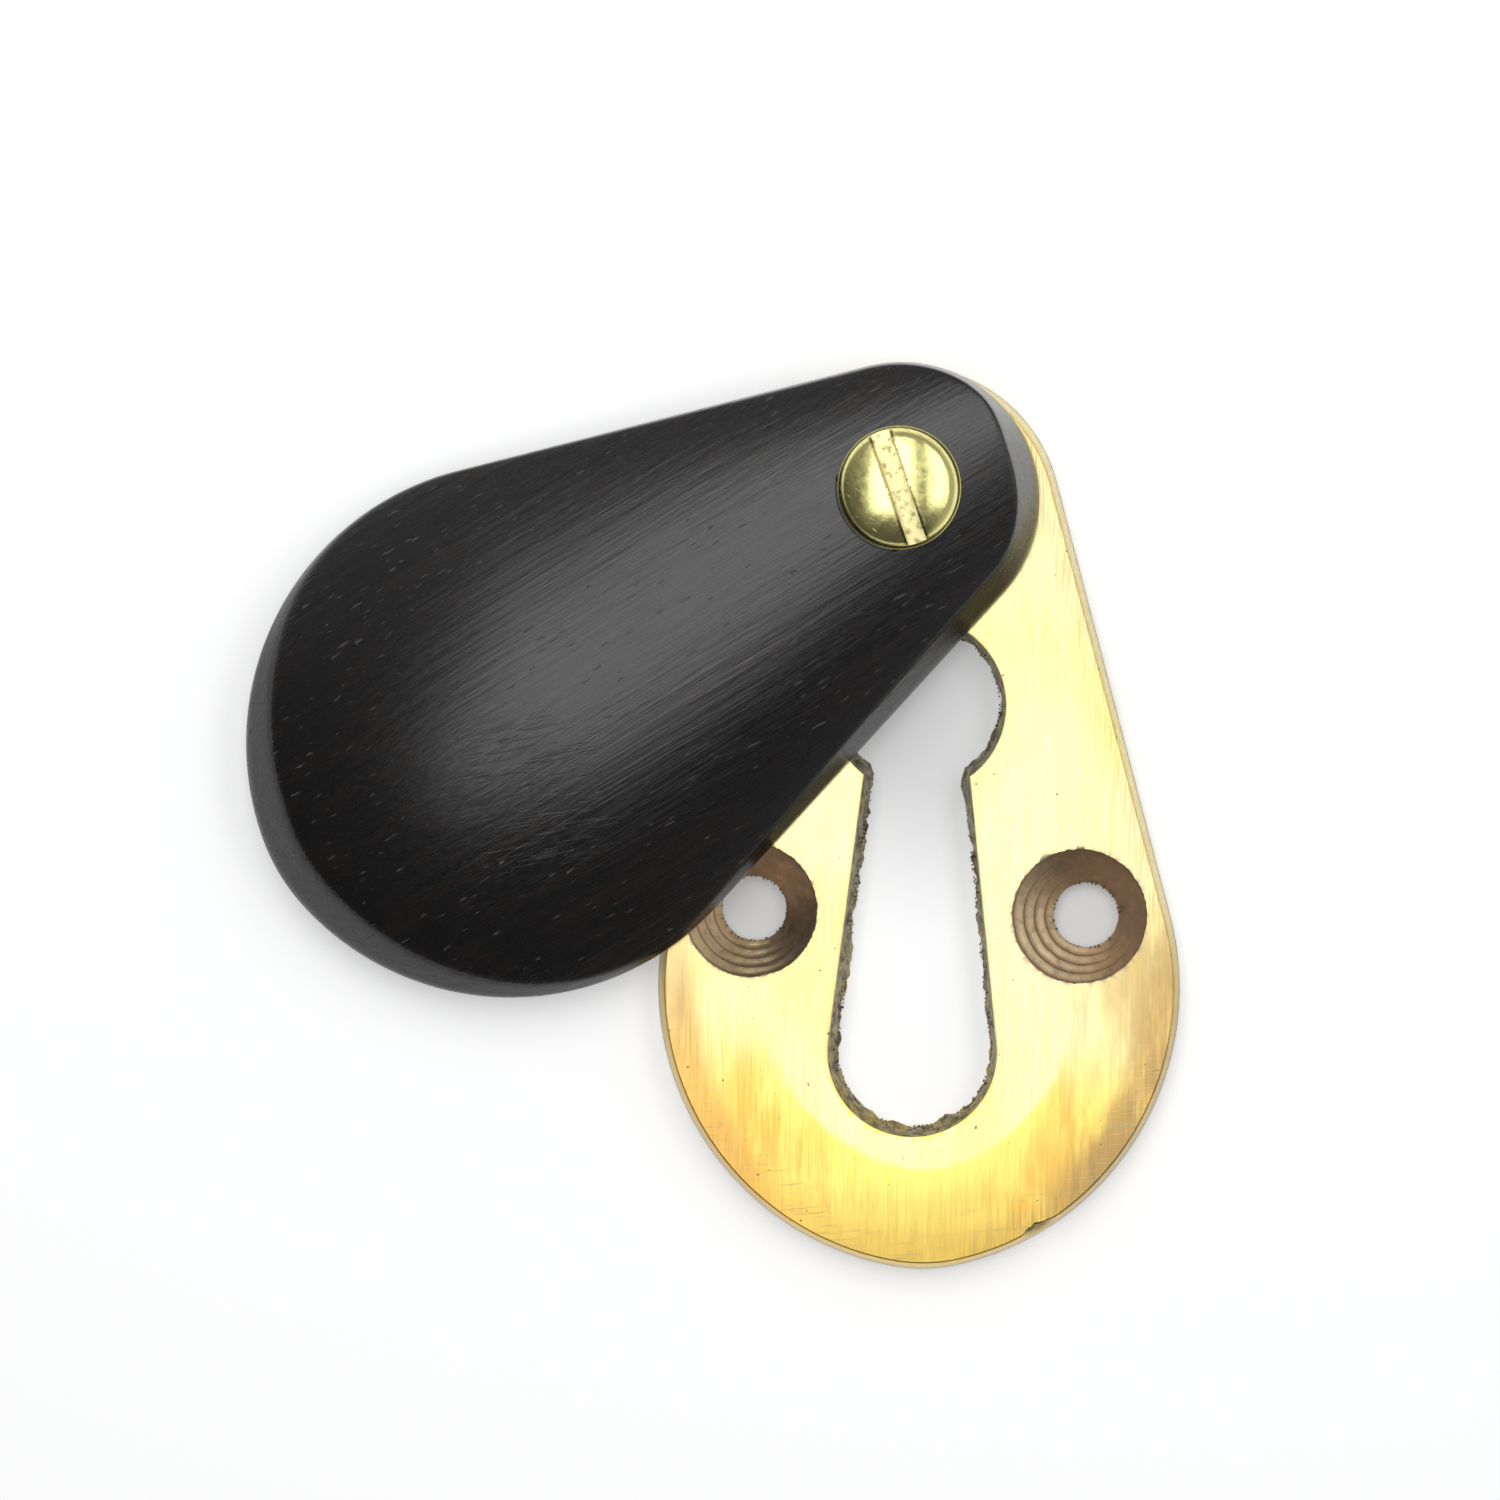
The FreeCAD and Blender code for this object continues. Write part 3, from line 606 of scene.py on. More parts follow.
@dataclass(frozen=True)
class Ebony:
    """Waxed ebony: open pores and ridges along the grain, and sanding marks across it."""

    grain_angle: float
    dark: Colour = (0.0040, 0.0037, 0.0040, 1.0)
    warm: Colour = (0.010, 0.0062, 0.0048, 1.0)
    pore: Colour = (0.085, 0.085, 0.08, 1.0)
    roughness: float = 0.26
    ior: float = 1.58
    shine: float = 0.5
    spread: float = 0.45
    marks_centre: tuple[float, float, float] = (-23.0, 7.0, 9.0)
    marks_reach: Point = (7.0, 2.5)
    marks_angle: float = 12.0

    def material(self) -> bpy.types.Material:
        """Build the node material."""
        material, recipe = shader("ebony_finish")
        along = recipe.millimetres(-self.grain_angle)
        streaks = recipe.noise(along, (0.05, 0.9, 0.9), 3.0, 0.6)
        pores = recipe.noise(along, (1.0, 6.0, 4.0), 0.0, 0.5, 5.0)
        groups = recipe.noise(along, (0.15, 0.5, 0.5), 2.0, 0.5, 9.0)
        fibres = recipe.noise(along, (0.30, 12.0, 6.0), 3.0, 0.6, 2.0)
        ridges = recipe.noise(along, (0.06, 1.8, 1.2), 4.0, 0.72, 13.0)
        sanded = recipe.noise(recipe.millimetres(-self.marks_angle), (0.35, 6.0, 1.0), 2.0, 0.6, 31.0)
        open_pores = recipe.times(recipe.span(pores, 0.775, 0.83), recipe.span(groups, 0.36, 0.5))
        away = recipe.distance(recipe.millimetres(), self.marks_centre)
        marks = recipe.times(recipe.span(sanded, 0.56, 0.66), recipe.span(away, *self.marks_reach))
        end_grain = recipe.attribute("end_grain")

        colour = recipe.layers(self.dark, [(recipe.span(streaks, 0.4, 0.75), self.warm), (open_pores, self.pore)])
        polish = recipe.span(fibres, 0.3, 0.7, self.roughness - 0.04, self.roughness + 0.07)
        for part, dulling in ((open_pores, 0.4), (marks, 0.1), (end_grain, 0.12)):
            polish = recipe.raised(polish, part, dulling)
        shine = recipe.raised(recipe.raised(self.shine, open_pores, -0.4), end_grain, -0.2)
        recipe.surface("ShaderNodeOutputMaterial", recipe.node("ShaderNodeBsdfPrincipled", {
            "Base Color": colour, "Roughness": polish, "IOR": self.ior, "Specular IOR Level": shine,
            "Anisotropic": self.spread, "Tangent": recipe.tangent(self.grain_angle + 90.0),
            "Normal": recipe.relief((ridges, 0.06, 0.85), (fibres, 0.006, 0.8),
                                    (recipe.math("SUBTRACT", 1.0, open_pores), 0.03, 0.7),
                                    (recipe.math("SUBTRACT", 1.0, marks), 0.013, 0.9)),
        }))
        return material


@dataclass(frozen=True)
class BackPlate:
    """The brass casting: leaning pear, filed margin, rough keyhole and stepped countersinks."""

    outline: Pear = Pear(16.2, 1.5, 10.2, 9.6, -4.7, 24.2)
    lean: float = 2.4
    thickness: float = 2.8
    draft: float = 12.0
    east_ease: float = 0.4
    arris: float = 0.12
    foot: float = 0.1
    margin_width: float = 5.0
    margin_fall: float = 0.25
    margin_ease: float = 0.5
    round_radius: float = 5.4
    round_rise: float = 12.8
    neck_width: float = 6.5
    end_radius: float = 5.2
    end_drop: float = 8.6
    keyhole_draft: float = 10.0
    keyhole_edge: float = 0.07
    keyhole_roughness: float = 0.2
    keyhole_depths: tuple[float, ...] = (0.04, 0.12, 0.25, 0.4, 0.55, 0.7, 0.82, 0.92, 1.0)
    torn_heights: tuple[float, ...] = (0.22, 0.9)
    fixing_x: float = 10.15
    fixing_radius: float = 2.0
    mouth_radius: float = 4.1
    sink_depth: float = 1.9
    sink_steps: int = 4
    step_profile: tuple[Point, ...] = ((0.0, 0.95), (0.1, 0.7), (0.24, 0.45), (0.5, 0.25), (0.84, 0.08), (0.95, 0.02))
    stepped_toward: float = 225.0
    bore_shift: Point = (0.12, 0.38)
    pivot_radius: float = 2.05
    nick: Point = (7.9, -19.3)
    nick_reach: float = 0.55
    nick_depth: float = 0.3
    edge_pitch: float = 0.22
    keyhole_pitch: float = 0.2
    pitch: float = 0.3
    sink_count: int = 160
    pivot_count: int = 72
    sharp: float = 28.0

    @property
    def sink_floor(self) -> float:
        """Height of the lowest tread of the countersinks."""
        return self.thickness - self.sink_depth

    def keyhole(self) -> tuple[Array, Array]:
        """Sample the keyhole's front edge anticlockwise.

        Returns:
            The points and their unit normals, which point out of the opening into the brass.
        """
        half = self.neck_width / 2
        neck_y = self.round_rise - math.sqrt(self.round_radius ** 2 - half ** 2)
        corner = math.atan2(neck_y - self.round_rise, half)
        rise = neck_y + self.end_drop
        flank = math.atan2(rise, half) - math.acos(self.end_radius / math.hypot(half, rise))
        steps = math.ceil(math.sqrt(half ** 2 + rise ** 2 - self.end_radius ** 2) / self.keyhole_pitch)
        parts = []
        for y, radius, start, end, side in ((self.round_rise, self.round_radius, corner, math.pi - corner, -1),
                                            (-self.end_drop, self.end_radius, math.pi - flank,
                                             2 * math.pi + flank, 1)):
            count = math.ceil(radius * (end - start) / self.keyhole_pitch)
            parts.append(arc((0.0, y), radius, start, end, count))
            angle = math.pi - flank if side < 0 else flank
            normal = np.array([math.cos(angle), math.sin(angle)])
            ends = [np.array([side * half, neck_y]), np.array([0.0, -self.end_drop]) + self.end_radius * normal]
            parts.append(line(*ends[::-side], normal, steps))
        return np.vstack([points for points, _ in parts]), np.vstack([normals for _, normals in parts])

    def front(self, points: Array, edge: Array) -> Array:
        """Return the height of the filed front face.

        Args:
            points: rows of x and y.
            edge: distance of each point from the front arris.

        Returns:
            One height for each point.
        """
        over = (self.margin_width - edge) / self.margin_ease
        fall = self.margin_fall / self.margin_width * self.margin_ease * np.logaddexp(0, over)
        x, y = points[:, 0], points[:, 1]
        waves = 0.006 * np.sin(0.55 * x + 0.21 * y) + 0.005 * np.sin(0.33 * y - 0.12 * x + 1.1)
        return self.thickness - fall + waves

    def build(self, finish: bpy.types.Material) -> bpy.types.Object:
        """Build the casting as one closed mesh."""
        draft = Draft(cut=0.0, edge=0.0, sink=0.0, wall=0.0, worn=0.0)
        base, normals = self.outline.loop(self.edge_pitch)
        base, normals = turn(base, self.lean), turn(normals, self.lean)
        lean_in = slope(self.draft) * (1 - self.east_ease * np.clip(normals[:, 0], 0, 1))
        rim = base - normals * (self.thickness * lean_in)[:, None]

        def front_at(points: Array) -> Array:
            """Height of the front at plan points."""
            return self.front(points, nearest(points, rim)[1])

        outer, back = self.wall(draft, base, normals, lean_in, front_at(rim))
        mouth, end = self.opening(draft, front_at)
        mouths, backs = [mouth], [end]
        for side in (-1, 1):
            rings, cuts, worn = self.countersink((side * self.fixing_x, 0.0), side, front_at)
            draft.rings(rings, cut=0.08, sink=cuts, edge=4.0, worn=worn)
            mouths.append(rings[0][:, :2])
            backs.append(rings[-1][:, :2])

        pivot = node_centre("pivot_screw")
        mouth = circle(pivot, self.pivot_radius + self.foot, self.pivot_count)
        bore = circle(pivot, self.pivot_radius, self.pivot_count)
        draft.rings([lift(mouth, front_at(mouth)), lift(bore, self.thickness - self.foot),
                     lift(bore, self.foot), lift(mouth, 0.0)], cut=0.6, edge=6.0)

        points, faces = fill(outer, mouths + [mouth], self.pitch)
        edge = nearest(points, rim)[1]
        draft.add(lift(points, self.front(points, edge)), faces, edge=edge)
        points, faces = fill(back, backs + [mouth], 3 * self.pitch)
        draft.add(lift(points, 0.0), faces, cut=0.2)
        return draft.piece("back_plate_casting", finish, self.sharp)

    def wall(self, draft: Draft, base: Array, normals: Array, lean_in: Array,
             rim_height: Array) -> tuple[Array, Array]:
        """Add the outer wall with its rounded arris and its nick.

        Args:
            draft: the casting so far.
            base: the outline of the back.
            normals: its outward unit normals.
            lean_in: how far the wall draws in for each unit of height.
            rim_height: height of the front at the arris.

        Returns:
            The outlines of the front and of the back.
        """
        places = [(inset + height * lean_in, height) for inset, height in ((0.1, 0.0), (0.03, 0.03), (0.0, self.foot))]
        foot_count = len(places)
        for share in (0.25, 0.5, 0.75, 0.93):
            height = self.foot + share * (rim_height - self.arris - self.foot)
            places.append((height * lean_in, height))
        for angle in np.radians((0.0, 22.5, 45.0, 67.5, 90.0)):
            inset = (self.thickness - self.arris) * lean_in + self.arris * (1 - math.cos(angle))
            places.append((inset, rim_height - self.arris * (1 - math.sin(angle))))
        walls, marks = [], []
        for inset, height in places:
            wall = lift(base - normals * inset[:, None], height)
            near = np.exp(-((wall[:, :2] - self.nick) ** 2).sum(axis=1) / (2 * self.nick_reach ** 2))
            chipped = near * np.clip(wall[:, 2] - 0.8, 0, 1)
            wall[:, :2] -= normals * (self.nick_depth * chipped * (1 + 0.5 * rough(wall, 2.5, 60.0)))[:, None]
            marks.append(np.clip(1.6 * chipped, 0.9 if len(walls) < foot_count else 0.12, 1.0))
            walls.append(wall)
        draft.rings(walls, cut=np.array(marks), wall=np.array([1.0] * (len(walls) - 3) + [0.7, 0.35, 0.0]))
        return walls[-1][:, :2], walls[0][:, :2]

    def opening(self, draft: Draft, front_at: Callable[[Array], Array]) -> tuple[Array, Array]:
        """Add the keyhole's ragged wall.

        Args:
            draft: the casting so far.
            front_at: gives the front's height at plan points.

        Returns:
            The keyhole's outlines on the front and on the back.
        """
        key, key_out = self.keyhole()
        mouth = key + key_out * self.keyhole_edge
        top = front_at(key)
        bevel = 0.3 * self.keyhole_edge
        rings = [lift(mouth, front_at(mouth)), lift(key + key_out * bevel, top - bevel)]
        for share in self.keyhole_depths:
            height = top * (1 - share)
            inset = (self.thickness - height) * slope(self.keyhole_draft)
            at = lift(key - key_out * inset[:, None], height)
            bites = np.clip(rough(at, 0.8, 14.0) - 0.1, 0, 1)
            ragged = (1.3 * rough(at, 0.42, 27.0) + rough(at, 1.3, 4.0)
                      + (0.5 + 1.5 * bites) * rough(at, 3.4, 9.0))
            at[:, :2] -= key_out * (self.keyhole_roughness * min(1.0, 2.2 * share) * ragged)[:, None]
            rings.append(at)
        draft.rings(rings, cut=np.array([0.0, 0.35] + [1.0] * len(self.keyhole_depths)), edge=2.6)
        return mouth, rings[-1][:, :2]

    def torn_edges(self) -> list[Array]:
        """Return the paths along which the saw and the drills tore the metal."""
        key, key_out = self.keyhole()
        paths = []
        for height in self.torn_heights:
            inset = (self.thickness - height) * slope(self.keyhole_draft)
            paths.append(lift(key - key_out * inset, height))
        for side, shift in zip((-1, 1), self.bore_shift):
            ring = lift(circle((side * self.fixing_x + shift, 0.0), self.fixing_radius, 90), self.sink_floor)
            ring[:, 2] -= 0.03 * (1 + rough(ring, 1.5, 70.0 + side))
            paths.append(ring)
        return paths

    def countersink(self, centre: Point, side: int,
                    front_at: Callable[[Array], Array]) -> tuple[list[Array], Array, Array]:
        """Return the rings of one stepped countersink, from its mouth to the back face.

        Args:
            centre: the hole's centre in plan.
            side: -1 for the left hole and 1 for the right one.
            front_at: gives the front's height at plan points.

        Returns:
            The rings, how dull each one is and where the treads get a painted highlight.
        """
        count, floor = self.sink_count, self.sink_floor
        tread = (self.mouth_radius - self.fixing_radius) / self.sink_steps
        riser = self.sink_depth / self.sink_steps
        ragged = rough(lift(circle(centre, self.mouth_radius, count), 0.0), 4.0, 44.0 + side)
        mouth = circle(centre, self.mouth_radius + 0.07 + 0.07 * ragged, count)
        angles = np.linspace(0, 360, count, endpoint=False) - self.stepped_toward
        stepped = np.clip(0.55 + 0.75 * np.cos(np.radians(angles)), 0.0, 1.0)
        unworn = np.zeros(count)
        profile, worn = [], [unworn]
        for step in reversed(range(self.sink_steps)):
            for share, rise in self.step_profile:
                height = floor + riser * (step + stepped * rise + (1 - stepped) * (1 - share))
                profile.append((self.fixing_radius + (step + 1 - share) * tread, height))
                # painted highlight: the treads toward the lower left get the bright share
                worn.append(stepped ** 2 * (0.85 if share > 0.1 else 0.1))
        profile += [(self.fixing_radius, 0.6 * floor), (self.fixing_radius, 0.25 * floor),
                    (self.fixing_radius + 0.05, 0.0)]
        rings = [lift(mouth, front_at(mouth))]
        limit = front_at(circle(centre, self.mouth_radius, count)) - 0.05
        for radius, level in profile:
            ring = lift(circle(centre, radius, count), level)
            depth = self.mouth_radius - radius
            wave = rough(ring, 1.1, 20.0 + 5 * side) + 0.5 * rough(ring, 3.0, 31.0 + side)
            ring[:, :2] += (ring[:, :2] - centre) / radius * (0.035 * wave)[:, None]
            ring[:, 0] += self.bore_shift[side > 0] * min(1.0, 1.2 * depth / (self.sink_steps * tread))
            ring[:, 2] = np.minimum(ring[:, 2], limit - 0.9 * max(0.0, depth))
            rings.append(ring)
        rings[-1][:, 2] = 0.0
        worn += [unworn] * (len(rings) - len(worn))
        return rings, np.array([0.45] + [1.0] * len(profile)), np.array(worn)


@dataclass(frozen=True)
class EdgeBurrs:
    """Torn crumbs of metal that the saw and the drills left along the lower edges of the holes."""

    spacing: float = 0.26
    share: float = 0.55
    size: float = 0.085
    seed: int = 7
    dullness: float = 0.9
    detail: int = 2

    def build(self, paths: list[Array], finish: bpy.types.Material) -> bpy.types.Object:
        """Scatter the crumbs along closed paths.

        Args:
            paths: rows of x, y and z of each path, in millimetres.
            finish: the crumbs' material.

        Returns:
            The crumbs as one object.
        """
        edges, first = [], 0
        for path in paths:
            edges += [(first + i, first + (i + 1) % len(path)) for i in range(len(path))]
            first += len(path)
        mesh = bpy.data.meshes.new("burr_paths")
        mesh.from_pydata((np.vstack(paths) * MM).tolist(), edges, [])
        source = place(bpy.data.objects.new("burr_paths", mesh))
        modifier = source.modifiers.new("burrs", "NODES")
        tree, sockets = self.tree()
        modifier.node_group = tree
        for name, value in (("Spacing", self.spacing * MM), ("Share", self.share), ("Size", self.size * MM),
                            ("Seed", self.seed), ("Finish", finish)):
            modifier[sockets[name]] = value
        ready = source.evaluated_get(bpy.context.evaluated_depsgraph_get())
        made = bpy.data.meshes.new_from_object(ready)
        made.name = "edge_burrs"
        bpy.data.objects.remove(source)
        return place(bpy.data.objects.new("edge_burrs", made))

    def tree(self) -> tuple[bpy.types.NodeTree, dict[str, str]]:
        """Build the node group and return it with the identifiers of its inputs."""
        tree = bpy.data.node_groups.new("edge_burrs", "GeometryNodeTree")
        sockets = {}
        for name, kind in (("Paths", "Geometry"), ("Spacing", "Float"), ("Share", "Float"), ("Size", "Float"),
                           ("Seed", "Int"), ("Finish", "Material")):
            sockets[name] = tree.interface.new_socket(
                name=name, in_out="INPUT", socket_type="NodeSocket" + kind).identifier
        tree.interface.new_socket(name="Burrs", in_out="OUTPUT", socket_type="NodeSocketGeometry")
        recipe = Recipe(tree)
        given = recipe.node("NodeGroupInput").outputs
        seed = given["Seed"]

        curve = recipe.node("GeometryNodeMeshToCurve", {"Mesh": given["Paths"]}).outputs["Curve"]
        points = recipe.node("GeometryNodeCurveToPoints", mode="LENGTH")
        recipe.feed(points.inputs["Curve"], curve)
        recipe.feed(points.inputs["Length"], given["Spacing"])
        spin = recipe.node("FunctionNodeRandomValue", {
            "Min": (0.0, 0.0, 0.0), "Max": (6.28, 6.28, 6.28), "Seed": seed}, data_type="FLOAT_VECTOR")
        stretch = recipe.node("FunctionNodeRandomValue", {
            "Min": (0.4, 0.5, 0.3), "Max": (1.7, 1.3, 1.0), "Seed": seed}, data_type="FLOAT_VECTOR")
        sized = recipe.node("ShaderNodeVectorMath", {
            0: stretch.outputs["Value"], "Scale": given["Size"]}, operation="SCALE")
        kept = recipe.node("FunctionNodeRandomValue", data_type="BOOLEAN")
        recipe.feed(kept.inputs["Probability"], given["Share"])
        recipe.feed(kept.inputs["Seed"], seed)
        strewn = recipe.node("GeometryNodeInstanceOnPoints", {
            "Points": points.outputs["Points"], "Instance": self.crumb(recipe),
            "Selection": [socket for socket in kept.outputs if socket.enabled][0],
            "Rotation": spin.outputs["Value"], "Scale": sized.outputs[0]})
        real = recipe.node("GeometryNodeRealizeInstances", {"Geometry": strewn.outputs["Instances"]})
        dull = recipe.node("GeometryNodeStoreNamedAttribute", {
            "Geometry": real.outputs["Geometry"], "Name": "cut", "Value": self.dullness},
            data_type="FLOAT", domain="POINT")
        coated = recipe.node("GeometryNodeSetMaterial", {
            "Geometry": dull.outputs["Geometry"], "Material": given["Finish"]})
        recipe.node("NodeGroupOutput", {"Burrs": coated.outputs["Geometry"]})
        return tree, sockets

    def crumb(self, recipe: Recipe) -> bpy.types.NodeSocket:
        """Return one ragged crumb, about 1 unit across."""
        ball = recipe.node("GeometryNodeMeshIcoSphere", {"Radius": 1.0, "Subdivisions": self.detail})
        torn = recipe.node("ShaderNodeTexNoise", {"Scale": 1.4}).outputs[0]
        at = recipe.node("GeometryNodeInputPosition").outputs[0]
        shaped = recipe.node("ShaderNodeVectorMath", {0: at, "Scale": recipe.raised(-0.3, torn, 2.4)},
                             operation="SCALE")
        moved = recipe.node("GeometryNodeSetPosition", {
            "Geometry": ball.outputs["Mesh"], "Position": shaped.outputs[0]})
        return moved.outputs["Geometry"]


@dataclass(frozen=True)
class SwingCover:
    """The ebony cover: a domed pear block with a bevelled rim and a seat for the screw head."""

    outline: Pear = Pear(16.4, 1.0, 12.2, 8.5, -28.1, -0.5)
    aside: float = 0.5
    turn_angle: float = 2.4 - 60.6
    back: float = 2.95
    block_height: float = 8.0
    back_bevel: float = 0.4
    side_slope: float = 22.0
    nose_slope: float = 38.0
    head_slope: float = 15.0
    crest_height: float = 6.6
    crest_drop: float = 24.0
    crest_head_arc: float = 330.0
    crest_nose_arc: float = 60.0
    dome_head_radius: float = 14.0
    dome_crest_radius: float = 26.0
    seat_height: float = 5.6
    seat_edges: tuple[float, ...] = (4.2, 4.0, 3.88)
    seat_radii: tuple[float, ...] = (3.83, 3.6, 3.2, 2.8, 2.5, 2.3)
    seat_count: int = 120
    bore_radius: float = 2.08
    bore_mouth: tuple[Point, ...] = ((2.14, 0.35), (2.08, 0.43))
    crease: float = 0.09
    soft_crease: float = 0.50
    soft_span: Point = (97.0, 207.0)
    soft_blur: float = 7.0
    soft_steepness: float = 0.8
    rim_steps: tuple[float, ...] = (-0.9, -0.75, -0.6, -0.45, -0.32, -0.22, -0.14, -0.08, -0.045, -0.022, -0.008,
                                    0.008, 0.022, 0.045, 0.08, 0.14, 0.22, 0.34)
    edge_pitch: float = 0.2
    pitch: float = 0.33
    sharp: float = 50.0

    def crest(self, y: Array) -> Array:
        """Return the height of the crest line along the cover."""
        radius = np.where(y > -self.crest_drop, self.crest_head_arc, self.crest_nose_arc)
        return self.crest_height - radius + np.sqrt(np.maximum(radius ** 2 - (y + self.crest_drop) ** 2, 0))

    def dome(self, points: Array) -> Array:
        """Return the height of the turned dome at plan points of the cover's own frame."""
        head = np.array([0.0, float(self.crest(np.array([0.0]))[0]) - self.dome_head_radius])
        top = np.array([-self.crest_drop, self.crest_height - self.dome_crest_radius])
        axis = (top - head) / np.linalg.norm(top - head)
        across = np.array([axis[1], -axis[0]])
        across = across if across[1] > 0 else -across
        x, y = points[:, 0] - self.aside, points[:, 1]
        height = self.crest(y) - x ** 2 / 40
        for _ in range(12):
            along = (y - head[0]) * axis[0] + (height - head[1]) * axis[1]
            out = (y - head[0]) * across[0] + (height - head[1]) * across[1]
            crest_y = y.copy()
            for _ in range(3):
                crest_z = self.crest(crest_y)
                crest_y = head[0] + (along - (crest_z - head[1]) * axis[1]) / axis[0]
            radius = (crest_y - head[0]) * across[0] + (self.crest(crest_y) - head[1]) * across[1]
            target = np.sqrt(np.maximum(radius ** 2 - x ** 2, 0.01))
            height = height + (target - out) / across[1]
        return height

    def build(self, finish: bpy.types.Material) -> bpy.types.Object:
        """Build the cover as one closed mesh."""
        centre = node_centre("pivot_screw")
        draft = Draft(end_grain=0.0)
        rings, marks = self.rim()
        seats = self.seat()
        draft.rings([self.settle(ring, centre) for ring in rings], end_grain=marks)
        draft.rings([self.settle(ring, centre) for ring in seats])
        points, faces = fill(rings[-1][:, :2], [seats[0][:, :2]], self.pitch)
        draft.add(self.settle(lift(points, self.blended(points, rings[-1])), centre), faces)
        points, faces = fill(rings[0][:, :2], [seats[-1][:, :2]], 3 * self.pitch)
        draft.add(self.settle(lift(points, 0.0), centre), faces)
        return draft.piece("swing_cover_carving", finish, self.sharp)

    def rim(self) -> tuple[list[Array], Array]:
        """Return the rings of the bevelled rim, from the back to the dome, and where they show end grain."""
        shift = np.array([self.aside, 0.0])
        base, normals = self.outline.loop(self.edge_pitch)
        rise = self.block_height - self.back_bevel
        drawn = [rise * slope(angle) for angle in (self.side_slope, self.nose_slope, self.head_slope)]
        block, _ = self.outline.raised(*drawn).loop(self.edge_pitch, self.outline)
        base, block = base + shift, block + shift
        facing = np.degrees(np.arctan2(normals[:, 1], normals[:, 0])) % 360
        begin, finish = ((facing - limit) / self.soft_blur for limit in self.soft_span)
        soft = 1 / (1 + np.exp(-begin)) / (1 + np.exp(finish))
        inward = (block - base) * (1 - self.soft_steepness * soft)[:, None]

        meet = np.full(len(base), 0.7)
        for _ in range(30):
            gap = self.dome(base + inward * meet[:, None]) - (self.back_bevel + rise * meet)
            meet = np.clip(meet + 0.5 * gap / rise, 0.05, 0.98)

        nose_side = np.clip(-2 * normals[:, 1] - 0.4, 0, 1)
        crease = self.crease * (1 + nose_side) + (self.soft_crease - self.crease) * soft
        bevel = 0.6 * self.back_bevel
        rings = [lift(base - normals * bevel * (1 - math.sin(angle)), bevel * (1 - math.cos(angle)))
                 for angle in np.radians((0.0, 30.0, 60.0, 90.0))]
        marks = [nose_side] * len(rings)
        for step in self.rim_steps:
            share = meet * (1 + step) if step < 0 else meet + step
            at = base + inward * share[:, None]
            wall = self.back_bevel + rise * share
            blend = crease * np.logaddexp(-wall / crease, -self.dome(at) / crease)
            rings.append(lift(at, -blend))
            marks.append(nose_side if step < -0.02 else np.zeros(len(base)))
        return rings, np.array(marks)

    def seat(self) -> list[Array]:
        """Return the rings of the screw's seat and bore, from the dome to the back."""
        seats = []
        for radius in self.seat_edges + self.seat_radii:
            ring = circle((0, 0), radius, self.seat_count)
            height = self.dome(ring)
            if radius <= self.seat_radii[0]:
                height = np.minimum(height, self.seat_height)
            seats.append(lift(ring, height))
        for radius, drop in self.bore_mouth:
            seats.append(lift(circle((0, 0), radius, self.seat_count), self.seat_height - drop))
        for margin in (0.0, 0.1):
            seats.append(lift(circle((0, 0), self.bore_radius + margin, self.seat_count), 0.1 - margin))
        return seats

    def blended(self, points: Array, border: Array) -> Array:
        """Return the dome's height, eased into the height of the border ring where they meet."""
        drop = border[:, 2] - self.dome(border[:, :2])
        index, gap = nearest(points, border[:, :2])
        return self.dome(points) + drop[index] * np.exp(-gap / 0.5)

    def settle(self, points: Array, centre: Point) -> Array:
        """Move points from the cover's own frame to where the open cover stands."""
        return lift(turn(points[:, :2], self.turn_angle, centre), points[:, 2] + self.back)


